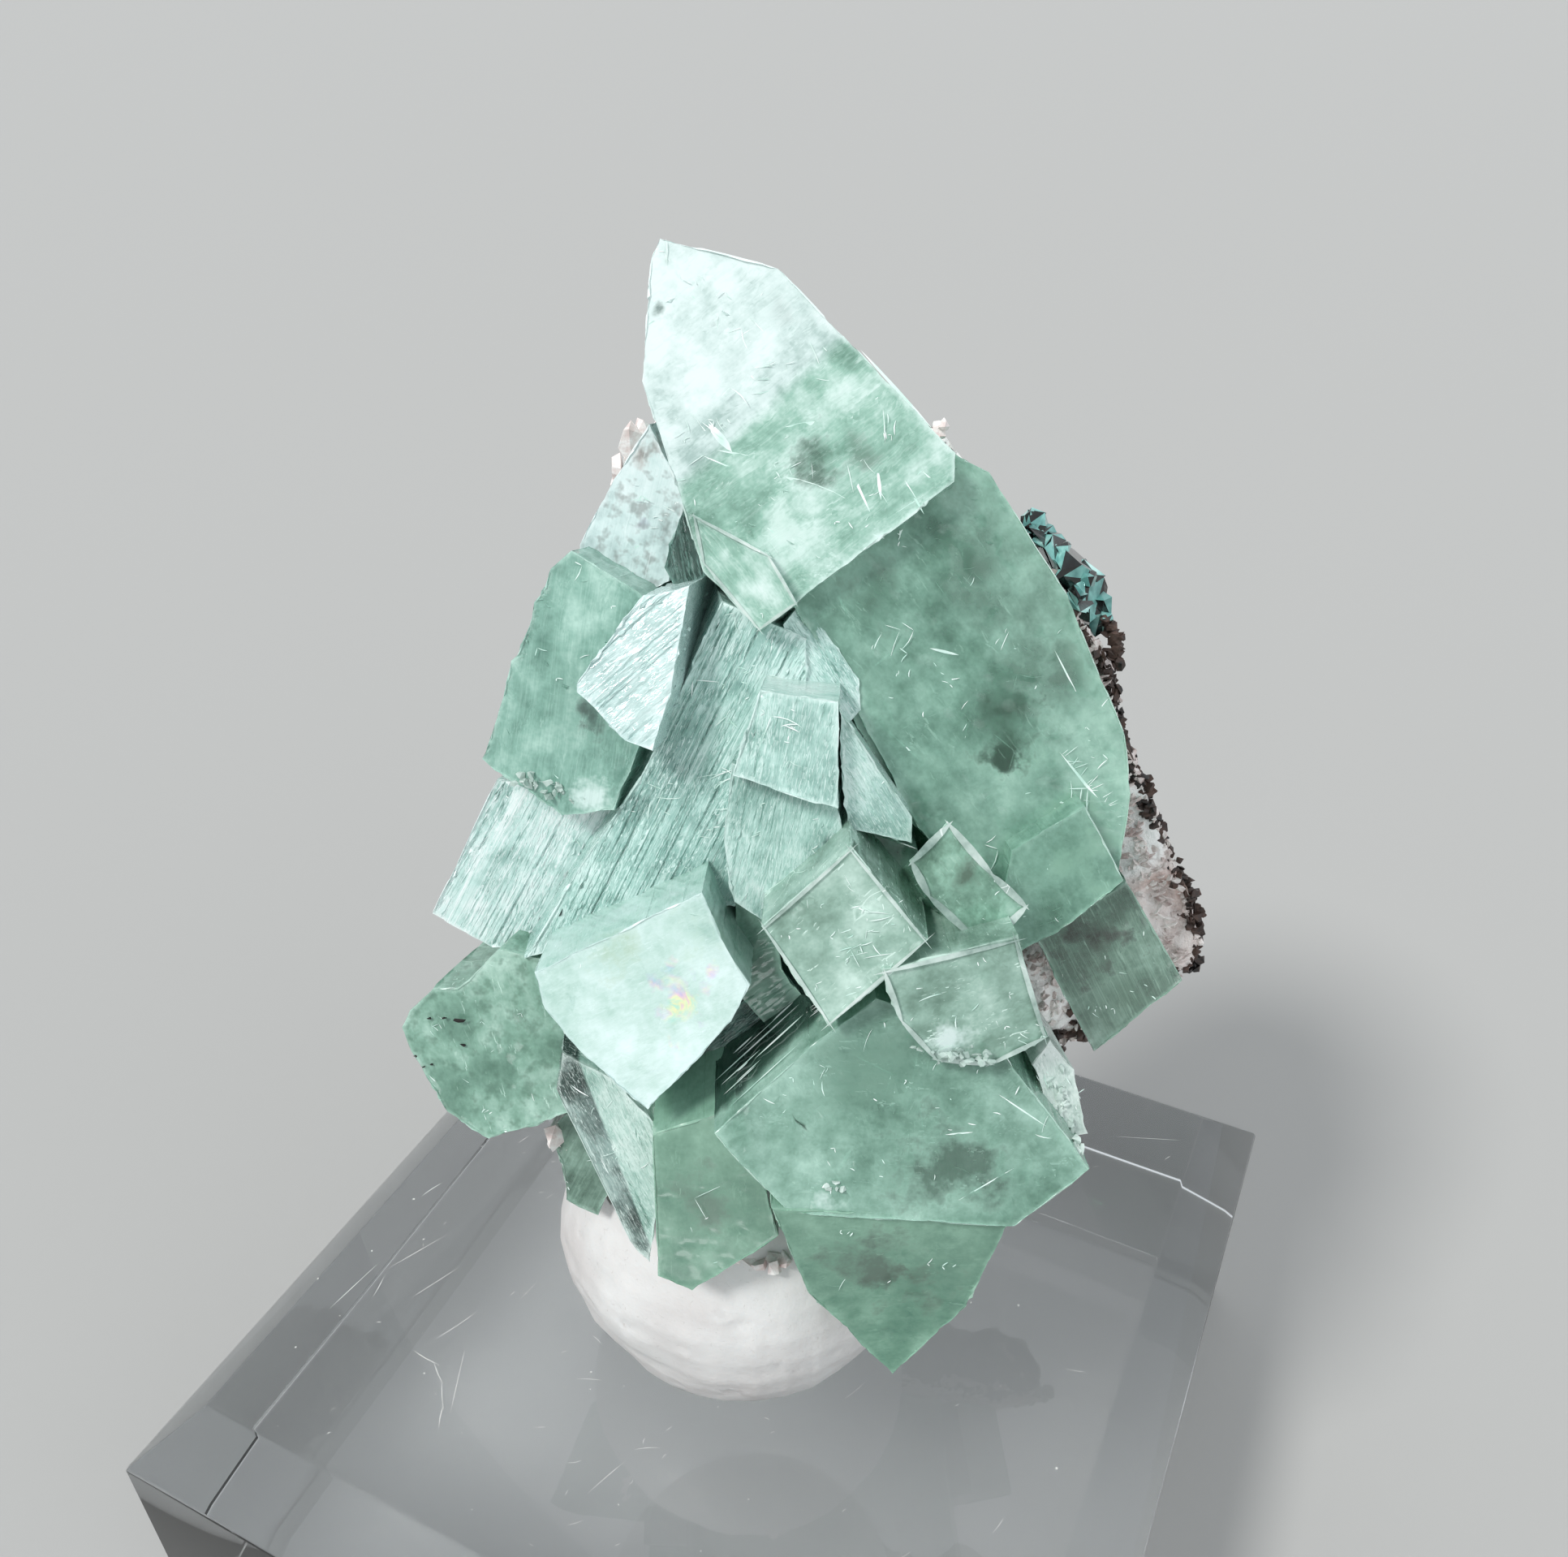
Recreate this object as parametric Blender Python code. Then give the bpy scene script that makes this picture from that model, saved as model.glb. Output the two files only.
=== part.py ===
"""A green pseudo-cubic apophyllite cluster on its host rock, held by white putty on a clear acrylic base."""

import math
from collections import namedtuple

import bmesh
import bpy
from mathutils import Euler, Matrix, Vector, noise

MM = 0.001
GAP = 0.3

# Acrylic base: a square block with a bevelled top edge.
BASE_SIDE = 63.5
BASE_HEIGHT = 25.4
BASE_TOP_SIDE = 54.8
BASE_BEVEL = (BASE_SIDE - BASE_TOP_SIDE) / 2

# The specimen's own frame: across, up its face, and out of its face.
SPECIMEN_TURN = math.radians(26)
SPECIMEN_LEAN = math.radians(20)
SPECIMEN_FORWARD = 12.0
SPECIMEN_RISE = 17.3

# Where the crystals end and the host rock begins, measured out of the face.
SEAT = -9.3
ROCK_THICKNESS = 7.5
CRYSTAL_DEPTH_PAST_SEAT = 2.0

# Putty: a ball pressed flat on the base and dented by what sits in it.
PUTTY_RADIUS = 12.4
PUTTY_CENTRE = Vector((1.6, -4.3, BASE_HEIGHT + 10.9))
PUTTY_SEGMENTS = 36
PUTTY_RINGS = 20

Crystal = namedtuple("Crystal", "name corners front tilt run depth")


def crystal(name, corners, front, tilt=(0.0, 0.0), run=(0.0, 0.0), depth=None):
    """corners: the face's (across, up) corners. front: its middle, out of the mid plane. tilt: its rise per
    millimetre across and up. run: how far the far end moves across and up. depth: None goes to the rock."""
    return Crystal(name, corners, front, tilt, run, depth)


CRYSTALS = [
    crystal(
        "great_block",
        [(2.5, 38.5), (7.5, 42.5), (11, 46), (13, 45), (15, 42), (17.5, 38.5), (19, 35), (21, 31), (21.5, 27.5),
         (21, 22.5), (15.5, 18.5), (9.5, 26), (5.5, 33.5)],
        front=1.0, tilt=(-0.12, -0.05), run=(0.5, -1.0),
    ),
    crystal(
        "tip",
        [(-4.5, 55.5), (-4, 56.5), (2, 55), (9, 48), (11, 46), (11, 44.5), (3, 38.5), (1, 37), (-2, 40),
         (-4.5, 48), (-5, 49.5)],
        front=2.0, tilt=(0.03, -0.12), run=(0.5, -2.5),
    ),
    crystal(
        "tip_flank",
        [(-2.5, 43), (-2, 40.5), (1, 37), (3, 38.5), (1.5, 41)],
        front=3.5, tilt=(0.3, 0.0), run=(0.0, 1.0),
    ),
    crystal(
        "great_block_step",
        [(14.5, 25), (18.5, 27.5), (21, 23), (17.5, 20), (15.5, 19), (14, 21.5)],
        front=2.5, tilt=(-0.1, 0.05), run=(-1.0, 1.0),
    ),
    crystal(
        "right_foot",
        [(16.5, 19), (21.5, 22.5), (25.5, 16), (20.5, 11.5)],
        front=0.0, tilt=(-0.1, 0.1), run=(-1.0, 1.5),
    ),
    crystal(
        "square",
        [(5.5, 27.5), (1, 23), (4.5, 17.5), (9.5, 22.5)],
        front=9.5, tilt=(0.08, 0.05), run=(0.5, 1.0),
    ),
    crystal(
        "rimmed_square",
        [(7, 21), (14, 22.5), (16, 16.5), (13, 15), (10, 15.5), (8, 18)],
        front=9.0, tilt=(-0.12, 0.1), run=(-0.5, 1.5),
    ),
    crystal(
        "frosted_chip",
        [(15.5, 14), (16.5, 15.5), (18, 13.5), (19, 9.5), (17, 9.5)],
        front=6.0, tilt=(-0.2, 0.0), run=(-2.0, 2.0),
    ),
    crystal(
        "pale_upper",
        [(1, 34.5), (5, 34), (5, 28.5), (-0.5, 30)],
        front=6.5, tilt=(0.15, -0.1), run=(1.0, 0.5),
    ),
    crystal(
        "pale_lower",
        [(-0.5, 30.5), (5, 28.5), (5.5, 26), (1, 21.5), (-0.5, 22.5), (-1, 26)],
        front=5.0, tilt=(0.2, 0.1), run=(1.5, 0.5),
    ),
    crystal(
        "fan",
        [(5, 33.5), (9, 27.5), (9, 26), (5.5, 27)],
        front=5.5, tilt=(-0.25, 0.0), run=(-0.5, 0.5),
    ),
    crystal(
        "left_shoulder",
        [(-5, 47.5), (-7, 44.5), (-9, 41), (-9, 40.5), (-5, 38.5), (-4, 39), (-3, 43.5)],
        front=-2.0, tilt=(0.1, -0.1), run=(1.5, 0.0),
    ),
    crystal(
        "left_green",
        [(-9, 41), (-10.2, 40), (-10.4, 39), (-11.2, 38.2), (-12, 35.5), (-12.6, 35), (-13.6, 31.5), (-14.5, 29.5),
         (-14, 29), (-10, 26.5), (-7, 27), (-5, 31.5), (-4, 37.5), (-5.5, 39)],
        front=1.0, tilt=(0.2, -0.05), run=(2.0, 0.0),
    ),
    crystal(
        "white_striated",
        [(-2.5, 39.5), (-5, 39), (-8.5, 34.5), (-8.5, 34), (-6, 31.5), (-4.5, 31), (-3.5, 34)],
        front=4.5, tilt=(0.05, -0.15), run=(2.0, 0.0),
    ),
    crystal(
        "left_column",
        [(-14, 28), (-18.5, 19.5), (-17.5, 19), (-15, 17.5), (-13.5, 17.5), (-9, 22.5), (-7, 27.5)],
        front=-1.5, tilt=(0.15, 0.05), run=(3.5, 1.5),
    ),
    crystal(
        "long_prism",
        [(-1, 38.5), (3.5, 36.5), (3.5, 31.5), (1, 27), (0.5, 22), (-12.5, 18), (-9.5, 23), (-5.5, 29)],
        front=2.0, tilt=(0.1, -0.02), run=(-1.5, 1.0),
    ),
    crystal(
        "pearly_block",
        [(-11, 19.5), (-2, 24), (-1, 21.5), (0.5, 19), (-0.5, 17), (-5, 12), (-8.5, 15), (-10.5, 17.5)],
        front=7.0, tilt=(0.05, -0.1), run=(0.5, 1.0),
    ),
    crystal(
        "striated_step",
        [(-6, 9), (-0.5, 15.5), (2, 18), (5, 14.5), (0.5, 9), (-5, 6.5)],
        front=2.0, tilt=(0.1, 0.0), run=(0.5, 2.0),
    ),
    crystal(
        "low_column",
        [(-10, 14), (-7, 12.5), (-4.5, 9.5), (-5, 4), (-5.5, 0.5), (-6.5, 1.5), (-10.5, 11.5)],
        front=4.5, tilt=(0.2, 0.1), run=(-1.0, 4.0),
    ),
    crystal(
        "low_block",
        [(-5, 10), (0, 12), (2, 3.5), (-3, -0.5), (-5, 0.5)],
        front=6.0, tilt=(0.05, 0.1), run=(-0.5, 5.0),
    ),
    crystal(
        "great_foot_upper",
        [(-1.5, 11.5), (3.5, 16), (7, 18.5), (13, 16.5), (17.5, 10.5), (18.5, 9), (14.5, 6), (2.5, 7)],
        front=8.5, tilt=(-0.05, -0.15), run=(-0.5, 3.0),
    ),
    crystal(
        "great_foot_lower",
        [(1.5, 7.5), (14.5, 6.5), (12.5, -0.5), (8.5, -6), (7, -4), (3.5, 1)],
        front=7.4, tilt=(-0.05, 0.3), run=(-1.0, 7.0), depth=10.0,
    ),
    crystal(
        "grey_chip",
        [(-12, 6.5), (-11, 4.5), (-11, 2), (-9, 1), (-6.5, 6), (-9.5, 9)],
        front=0.0, tilt=(0.1, 0.0), run=(2.0, 3.0), depth=7.0,
    ),
    crystal(
        "lens",
        [(10.5, 28), (8.5, 26), (9.5, 24), (12, 21.5), (13.5, 21.5), (15, 23), (13, 25)],
        front=7.0, tilt=(-0.2, 0.0), run=(0.0, -7.0),
    ),
    crystal(
        "lower_left_mass",
        [(-20, 13.5), (-19.5, 14.5), (-18, 16), (-16.5, 16), (-14, 18.5), (-10.5, 18), (-9, 13), (-10, 9), (-12, 8),
         (-15, 7), (-17.5, 8.5), (-19.5, 12)],
        front=1.0, tilt=(0.15, -0.1), run=(3.5, 1.5),
    ),
]

# Rounded swellings on the green mass at the lower left: centre, half sizes and the seed of its lumps.
NODULES = [
    ("nodule_low", (-14.6, 11.6, -1.4), (4.4, 4.2, 4.2), 3),
    ("nodule_high", (-16.0, 13.6, -2.0), (3.4, 2.6, 3.4), 11),
]

ROCK_OUTLINE = [
    (-5.5, 48), (-7.5, 45), (-8, 40), (-10.5, 36), (-11.5, 30), (-13, 24), (-13.5, 18), (-13.5, 12), (-11, 7),
    (-6, 4), (0, 3), (8, 2.5), (14, 4), (19.5, 7), (24.5, 10), (28, 12), (29.3, 14.5), (28.8, 17.5), (27, 20.5),
    (25.5, 24), (23.6, 28), (22.8, 33), (19.8, 37), (16.3, 41.5), (11.5, 47), (6, 49), (0, 49.5),
]

# Small shiny black crystals on the rock's upper right edge: centre, half size, turn in degrees.
DARK_LUMPS = [
    ((16.9, 40.6, -10.6), 1.0, 10),
    ((18.2, 39.6, -11.0), 1.3, 35),
    ((19.4, 38.5, -10.8), 1.5, 62),
    ((20.4, 37.2, -11.2), 1.5, 20),
    ((21.0, 35.9, -11.6), 1.3, 50),
    ((19.8, 37.0, -12.6), 1.8, 5),
    ((18.0, 38.8, -12.8), 1.6, 70),
]


def clear_scene():
    for obj in list(bpy.data.objects):
        bpy.data.objects.remove(obj)


def specimen_matrix():
    """Takes the specimen's across, up and out to the world, in millimetres."""
    across = Vector((math.cos(SPECIMEN_TURN), math.sin(SPECIMEN_TURN), 0))
    toward = Vector((math.sin(SPECIMEN_TURN), -math.cos(SPECIMEN_TURN), 0))
    vertical = Vector((0, 0, 1))
    up = vertical * math.cos(SPECIMEN_LEAN) - toward * math.sin(SPECIMEN_LEAN)
    out = toward * math.cos(SPECIMEN_LEAN) + vertical * math.sin(SPECIMEN_LEAN)
    origin = toward * SPECIMEN_FORWARD + vertical * (BASE_HEIGHT + SPECIMEN_RISE)
    matrix = Matrix((across, up, out)).transposed().to_4x4()
    matrix.translation = origin
    return matrix


FRAME = specimen_matrix()


def material(name, color, roughness, metallic=0.0, transmission=0.0, ior=1.5, alpha=1.0):
    made = bpy.data.materials.new(name)
    made.use_nodes = True
    made.diffuse_color = (*color, alpha)
    shader = made.node_tree.nodes["Principled BSDF"]
    shader.inputs["Base Color"].default_value = (*color, 1)
    shader.inputs["Roughness"].default_value = roughness
    shader.inputs["Metallic"].default_value = metallic
    shader.inputs["Transmission Weight"].default_value = transmission
    shader.inputs["IOR"].default_value = ior
    return made


def add_object(name, bm, collection, made=None):
    """Makes the object from a mesh in millimetres, with outward faces."""
    bmesh.ops.scale(bm, vec=(MM, MM, MM), verts=bm.verts)
    bmesh.ops.recalc_face_normals(bm, faces=bm.faces)
    mesh = bpy.data.meshes.new(name)
    bm.to_mesh(mesh)
    bm.free()
    obj = bpy.data.objects.new(name, mesh)
    collection.objects.link(obj)
    if made:
        mesh.materials.append(made)
    return obj


def helper_collection(name):
    made = bpy.data.collections.new(name)
    made.hide_render = True
    bpy.context.scene.collection.children.link(made)
    return made


def hide_helper(obj):
    obj.hide_render = True
    obj.display_type = "WIRE"


def middle_of(corners):
    count = len(corners)
    return sum(c[0] for c in corners) / count, sum(c[1] for c in corners) / count


def grown(corners, grow):
    """The outline with each of its sides moved outward by grow."""
    points = [Vector(corner) for corner in corners]
    area = sum(a.x * b.y - a.y * b.x for a, b in zip(points, points[1:] + points[:1]))
    turn = 1 if area > 0 else -1
    moved = []
    for index, point in enumerate(points):
        before = (point - points[index - 1]).normalized()
        after = (points[(index + 1) % len(points)] - point).normalized()
        first = Vector((before.y, -before.x)) * turn
        second = Vector((after.y, -after.x)) * turn
        moved.append(point + (first + second) * grow / max(1 + first.dot(second), 0.5))
    return moved


def crystal_mesh(spec, grow):
    """A straight block from its front face back to the host rock, or grow larger all round."""
    middle = middle_of(spec.corners)
    full_depth = spec.depth or spec.front - SEAT
    slant = Vector(spec.run) / full_depth
    if spec.depth:
        end = spec.front - spec.depth - grow
    elif grow:
        end = SEAT - GAP * 0.95
    else:
        end = SEAT - CRYSTAL_DEPTH_PAST_SEAT
    bm = bmesh.new()
    near = []
    far = []
    for corner in grown(spec.corners, grow):
        across, up = corner
        out = spec.front + (across - middle[0]) * spec.tilt[0] + (up - middle[1]) * spec.tilt[1] + grow
        near.append(bm.verts.new((across, up, out)))
        far.append(bm.verts.new((*(corner + slant * (out - end)), end)))
    bm.faces.new(near)
    bm.faces.new(reversed(far))
    for index, vert in enumerate(near):
        follow = (index + 1) % len(near)
        bm.faces.new((vert, far[index], far[follow], near[follow]))
    bm.transform(FRAME)
    return bm


def lump_mesh(centre, half_sizes, seed, grow, steps=3, roughness=0.16):
    """A rounded, knobbly lump."""
    bm = bmesh.new()
    bmesh.ops.create_icosphere(bm, subdivisions=steps, radius=1)
    for vert in bm.verts:
        direction = vert.co.normalized()
        knob = noise.noise(direction * 1.7 + Vector((seed, seed * 0.37, 0)))
        knob += 0.5 * noise.noise(direction * 4.1 + Vector((0, seed, seed * 0.61)))
        scale = 1 + roughness * knob
        vert.co = Vector(
            (
                centre[0] + direction.x * (half_sizes[0] * scale + grow),
                centre[1] + direction.y * (half_sizes[1] * scale + grow),
                centre[2] + direction.z * (half_sizes[2] * scale + grow),
            )
        )
    bm.transform(FRAME)
    return bm


def noise_shift(place):
    """A smooth random shift that is the same each time for the same place."""
    apart = Vector((37.1, 11.7, 5.3))
    return Vector(noise.noise(place + apart * axis) for axis in range(3))


def rock_slab_mesh(grow):
    """The broken slab of host rock behind the crystals: flat in front, rough behind, or grow larger all round."""
    middle = middle_of(ROCK_OUTLINE)
    front = SEAT - GAP
    rings = [
        (front, 1.0),
        (front - ROCK_THICKNESS * 0.45, 1.0),
        (front - ROCK_THICKNESS * 0.85, 0.9),
        (front - ROCK_THICKNESS, 0.68),
        (front - ROCK_THICKNESS, 0.34),
    ]
    bm = bmesh.new()
    loops = []
    for out, shrink in rings:
        loop = []
        for across, up in ROCK_OUTLINE:
            across = middle[0] + (across - middle[0]) * shrink
            up = middle[1] + (up - middle[1]) * shrink
            loop.append(bm.verts.new((across, up, out)))
        loops.append(loop)
    bm.faces.new(loops[0])
    bm.faces.new(reversed(loops[-1]))
    for near, far in zip(loops, loops[1:]):
        for index, vert in enumerate(near):
            follow = (index + 1) % len(near)
            bm.faces.new((vert, far[index], far[follow], near[follow]))
    bmesh.ops.triangulate(bm, faces=[f for f in bm.faces if f.verts[0] in loops[-1] and len(f.verts) > 4])
    rough = [edge for edge in bm.edges if any(v not in loops[0] for v in edge.verts)]
    bmesh.ops.subdivide_edges(bm, edges=rough, cuts=1, use_grid_fill=True)
    bmesh.ops.recalc_face_normals(bm, faces=bm.faces)
    for vert in bm.verts:
        if vert.co.z < front - 0.01:
            vert.co += noise_shift(vert.co * 0.22) * 1.5 + noise_shift(vert.co * 0.6) * 0.6
            vert.co.z = min(vert.co.z, front - 0.4)
    bm.normal_update()
    for vert in bm.verts:
        vert.co += vert.normal * grow
    bm.transform(FRAME)
    return bm


def dark_lump_mesh(centre, half_size, turn):
    """One black crystal: a cube with its corners cut down to near-triangular faces."""
    bm = bmesh.new()
    bmesh.ops.create_cube(bm, size=half_size * 1.7)
    bmesh.ops.bevel(bm, geom=bm.verts[:], offset=half_size * 0.62, affect="VERTICES", segments=1)
    bmesh.ops.remove_doubles(bm, verts=bm.verts, dist=half_size * 0.02)
    spin = Euler((math.radians(turn), math.radians(turn * 0.7 + 20), math.radians(turn * 1.9)))
    bm.transform(FRAME @ Matrix.Translation(centre) @ spin.to_matrix().to_4x4())
    return bm


def add_boolean(obj, operation, other):
    """Joins or cuts with an object or with all in a collection."""
    modifier = obj.modifiers.new(operation.title(), "BOOLEAN")
    modifier.operation = operation
    modifier.solver = "EXACT"
    if isinstance(other, bpy.types.Collection):
        modifier.operand_type = "COLLECTION"
        modifier.collection = other
    else:
        modifier.object = other
    return modifier


def cut_and_close(bm, point, normal):
    """Cuts away what lies on the normal's side of the plane and closes the mesh with flat faces."""
    cut = bmesh.ops.bisect_plane(
        bm,
        geom=bm.verts[:] + bm.edges[:] + bm.faces[:],
        dist=0.01 * MM,
        plane_co=point,
        plane_no=normal,
        clear_outer=True,
    )
    rim = [item for item in cut["geom_cut"] if isinstance(item, bmesh.types.BMEdge)]
    bmesh.ops.triangle_fill(bm, use_beauty=True, use_dissolve=True, edges=rim)


def end_on_seat(obj):
    """Ends the crystals flat where the host rock begins."""
    out = (FRAME.to_3x3() @ Vector((0, 0, 1))).normalized()
    point = (FRAME @ Vector((0, 0, SEAT))) * MM
    bm = bmesh.new()
    bm.from_mesh(obj.data)
    cut_and_close(bm, point, -out)
    bmesh.ops.recalc_face_normals(bm, faces=bm.faces)
    bm.to_mesh(obj.data)
    bm.free()


def bake_largest(obj):
    """Applies the modifiers and keeps the largest connected body."""
    graph = bpy.context.evaluated_depsgraph_get()
    obj.data = bpy.data.meshes.new_from_object(obj.evaluated_get(graph))
    obj.modifiers.clear()
    bm = bmesh.new()
    bm.from_mesh(obj.data)
    unseen = set(bm.verts)
    bodies = []
    while unseen:
        body = [unseen.pop()]
        for vert in body:
            for edge in vert.link_edges:
                other = edge.other_vert(vert)
                if other in unseen:
                    unseen.remove(other)
                    body.append(other)
        bodies.append(body)
    bodies.sort(key=len)
    for body in bodies[:-1]:
        bmesh.ops.delete(bm, geom=body, context="VERTS")
    bm.to_mesh(obj.data)
    bm.free()


def build_base(scene_collection):
    acrylic = material("clear_acrylic", (0.95, 0.96, 0.97), 0.03, transmission=1.0, ior=1.49, alpha=0.3)
    half = BASE_SIDE / 2
    top_half = BASE_TOP_SIDE / 2
    rings = [(half, 0), (half, BASE_HEIGHT - BASE_BEVEL), (top_half, BASE_HEIGHT)]
    bm = bmesh.new()
    loops = []
    for reach, height in rings:
        signs = ((-1, -1), (1, -1), (1, 1), (-1, 1))
        loops.append([bm.verts.new((reach * x, reach * y, height)) for x, y in signs])
    bm.faces.new(loops[0])
    bm.faces.new(loops[-1])
    for low, high in zip(loops, loops[1:]):
        for index in range(4):
            follow = (index + 1) % 4
            bm.faces.new((low[index], low[follow], high[follow], high[index]))
    return add_object("acrylic_base", bm, scene_collection, acrylic)


def build_crystals(scene_collection, green):
    """All the crystals that grew together, joined in one solid and ended flat on the rock."""
    pieces = helper_collection("crystal_pieces")
    first = CRYSTALS[0]
    crystals = add_object("apophyllite_crystals", crystal_mesh(first, 0), scene_collection, green)
    for spec in CRYSTALS[1:]:
        piece = add_object("piece_" + spec.name, crystal_mesh(spec, 0), pieces)
        hide_helper(piece)
    for name, centre, half_sizes, seed in NODULES:
        hide_helper(add_object("piece_" + name, lump_mesh(centre, half_sizes, seed, 0, steps=2), pieces))
    add_boolean(crystals, "UNION", pieces)
    bake_largest(crystals)
    end_on_seat(crystals)
    return crystals


def crystal_clearance():
    """The same crystals a gap larger, to cut their room out of the rock and the putty."""
    clearance = helper_collection("crystal_clearance")
    for spec in CRYSTALS:
        hide_helper(add_object("room_" + spec.name, crystal_mesh(spec, GAP), clearance))
    for name, centre, half_sizes, seed in NODULES:
        hide_helper(
            add_object("room_" + name, lump_mesh(centre, half_sizes, seed, GAP * 1.2, steps=2), clearance)
        )
    return clearance


def rock_clearance():
    clearance = helper_collection("rock_clearance")
    hide_helper(add_object("room_host_rock", rock_slab_mesh(GAP * 1.5), clearance))
    return clearance


def build_rock(scene_collection, made):
    return add_object("host_rock", rock_slab_mesh(0), scene_collection, made)


def build_dark_crystals(scene_collection, made, crystal_room, rock_room):
    pieces = helper_collection("dark_pieces")
    first, *others = DARK_LUMPS
    dark = add_object("dark_crystals", dark_lump_mesh(*first), scene_collection, made)
    for index, lump in enumerate(others):
        hide_helper(add_object(f"piece_dark_{index}", dark_lump_mesh(*lump), pieces))
    add_boolean(dark, "UNION", pieces)
    add_boolean(dark, "DIFFERENCE", rock_room)
    add_boolean(dark, "DIFFERENCE", crystal_room)
    bake_largest(dark)
    return dark


def build_putty(scene_collection, made, crystal_room, rock_room):
    bm = bmesh.new()
    bmesh.ops.create_uvsphere(bm, u_segments=PUTTY_SEGMENTS, v_segments=PUTTY_RINGS, radius=PUTTY_RADIUS)
    bmesh.ops.translate(bm, vec=PUTTY_CENTRE, verts=bm.verts)
    cut_and_close(bm, (0, 0, BASE_HEIGHT + GAP), (0, 0, -1))
    putty = add_object("mounting_putty", bm, scene_collection, made)
    add_boolean(putty, "DIFFERENCE", crystal_room)
    add_boolean(putty, "DIFFERENCE", rock_room)
    bake_largest(putty)
    return putty


def main():
    clear_scene()
    scene_collection = bpy.context.scene.collection
    green = material("apophyllite", (0.55, 0.78, 0.68), 0.12, transmission=0.9, ior=1.535, alpha=0.75)
    stone = material("host_rock", (0.72, 0.66, 0.62), 0.8)
    black = material("dark_crystal", (0.03, 0.035, 0.035), 0.15, metallic=0.2)
    white = material("white_putty", (0.86, 0.86, 0.85), 0.6)
    build_base(scene_collection)
    build_crystals(scene_collection, green)
    crystal_room = crystal_clearance()
    rock_room = rock_clearance()
    build_rock(scene_collection, stone)
    build_dark_crystals(scene_collection, black, crystal_room, rock_room)
    build_putty(scene_collection, white, crystal_room, rock_room)


main()
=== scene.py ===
"""The dressed apophyllite specimen: crystals, rock, putty and acrylic, with camera, floor and lights."""

import bisect
import math
import random
from collections import namedtuple

import bmesh
import bpy
from mathutils import Matrix, Vector, noise


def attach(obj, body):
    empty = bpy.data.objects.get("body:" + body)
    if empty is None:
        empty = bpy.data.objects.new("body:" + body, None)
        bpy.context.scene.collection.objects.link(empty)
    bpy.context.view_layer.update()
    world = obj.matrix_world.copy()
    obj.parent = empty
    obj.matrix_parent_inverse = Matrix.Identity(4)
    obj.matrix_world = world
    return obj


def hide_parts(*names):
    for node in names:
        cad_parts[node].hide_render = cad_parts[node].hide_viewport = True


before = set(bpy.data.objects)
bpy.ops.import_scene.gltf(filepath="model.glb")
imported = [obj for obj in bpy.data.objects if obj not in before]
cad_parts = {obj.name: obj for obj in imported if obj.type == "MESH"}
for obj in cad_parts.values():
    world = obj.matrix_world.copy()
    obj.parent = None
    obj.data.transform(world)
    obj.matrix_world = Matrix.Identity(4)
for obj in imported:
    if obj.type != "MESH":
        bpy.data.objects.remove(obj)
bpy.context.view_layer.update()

MM = 0.001

# The base and the specimen's own frame (across, up its face, out of its face), as the CAD has them. A crystal
# that names no depth goes back to SEAT.
BASE_HEIGHT = 25.4
BASE_TOP = 54.8
SPECIMEN_TURN = math.radians(26)
SPECIMEN_LEAN = math.radians(20)
SPECIMEN_FORWARD = 12.0
SPECIMEN_RISE = 17.3
SEAT = -9.3

# How finely things are meshed, in millimetres: the crystals down to FINE_DEPTH below their front faces
# and further in, the rock and the putty.
FACE_STEP = 0.5
SIDE_STEP = 1.8 * FACE_STEP
FINE_DEPTH = 2.5
ROCK_STEP = 0.6
PUTTY_STEP = 0.7
SPLIT_ROUNDS = 8
SHARP_ANGLE = 28

# How worn and striated the crystals are, in millimetres. A point within CUT_REACH of a striation's cut lies
# on it. RELIEF_SINK lowers every face, so that its relief goes inward only.
EDGE_WEAR = 0.14
NICK_SPACING = 1.1
# RIM_WIDTH is how far in from an edge the crystals' painted edge highlight reaches.
RIM_WIDTH = 0.6
STRIPE_PITCH = (0.22, 0.5)
STRIPE_DEPTHS = (0.0, 0.03, 0.06, 0.10, 0.16)
CUT_MERGE = 0.01
CUT_SLACK = 0.02
CUT_REACH = 0.03
WAVE_HEIGHT = 0.05
LEDGE_HEIGHT = 0.05
LEDGE_LEVELS = 5
DENT_DEPTH = 0.12
PLAIN_RELIEF = 0.06
STRIPE_RELIEF = 0.14
RELIEF_SINK = 0.07
RIDGE_INSET = 0.06
RIDGE_HEIGHT = 0.05
RIDGE_OVERLAP = 0.1

# Flaws inside the crystals. A feather is a bunch of glints that share a root and a direction. A sliver's
# rings are at shares of its length, with shares of its width.
GLINT_TRIES = 1.7
GLINT_THICKNESS = 0.04
RIGHT_ANGLE_SHARE = 0.3
FEATHER_COUNT = 14
FEATHER_SHARE = 0.55
FEATHER_BARBS = 26
BLADE_DEPTH = 0.1
VEILS_PER_CRYSTAL = 7
VEIL_CORNERS = 8
VEIL_THICKNESS = 0.03
SLIVER_RINGS = ((0.22, 0.75), (0.5, 1.0), (0.78, 0.75))

# Grains, lumps and dust. Grains lie on the rock right of GRAINS_FROM and in front of GRAINS_BACK. They are
# few and pale where its rim value is under CRUST_RIM, crust within it, and few and dark past it.
CRUMB_POINTS = 11
GRAINS_FROM = 16
GRAINS_BACK = -13
GRAIN_SHARE = 0.3
CRUST_RIM = (0.3, 0.95)
DARK_LUMPS = 20
TEAL_SHARE = 0.5
DUST_COUNT = 70
SCRATCH_COUNT = 120
SCRATCH_REACH = 0.47
PUTTY_FOOT = 1
BASE_SOFTNESS = 0.18

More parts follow.
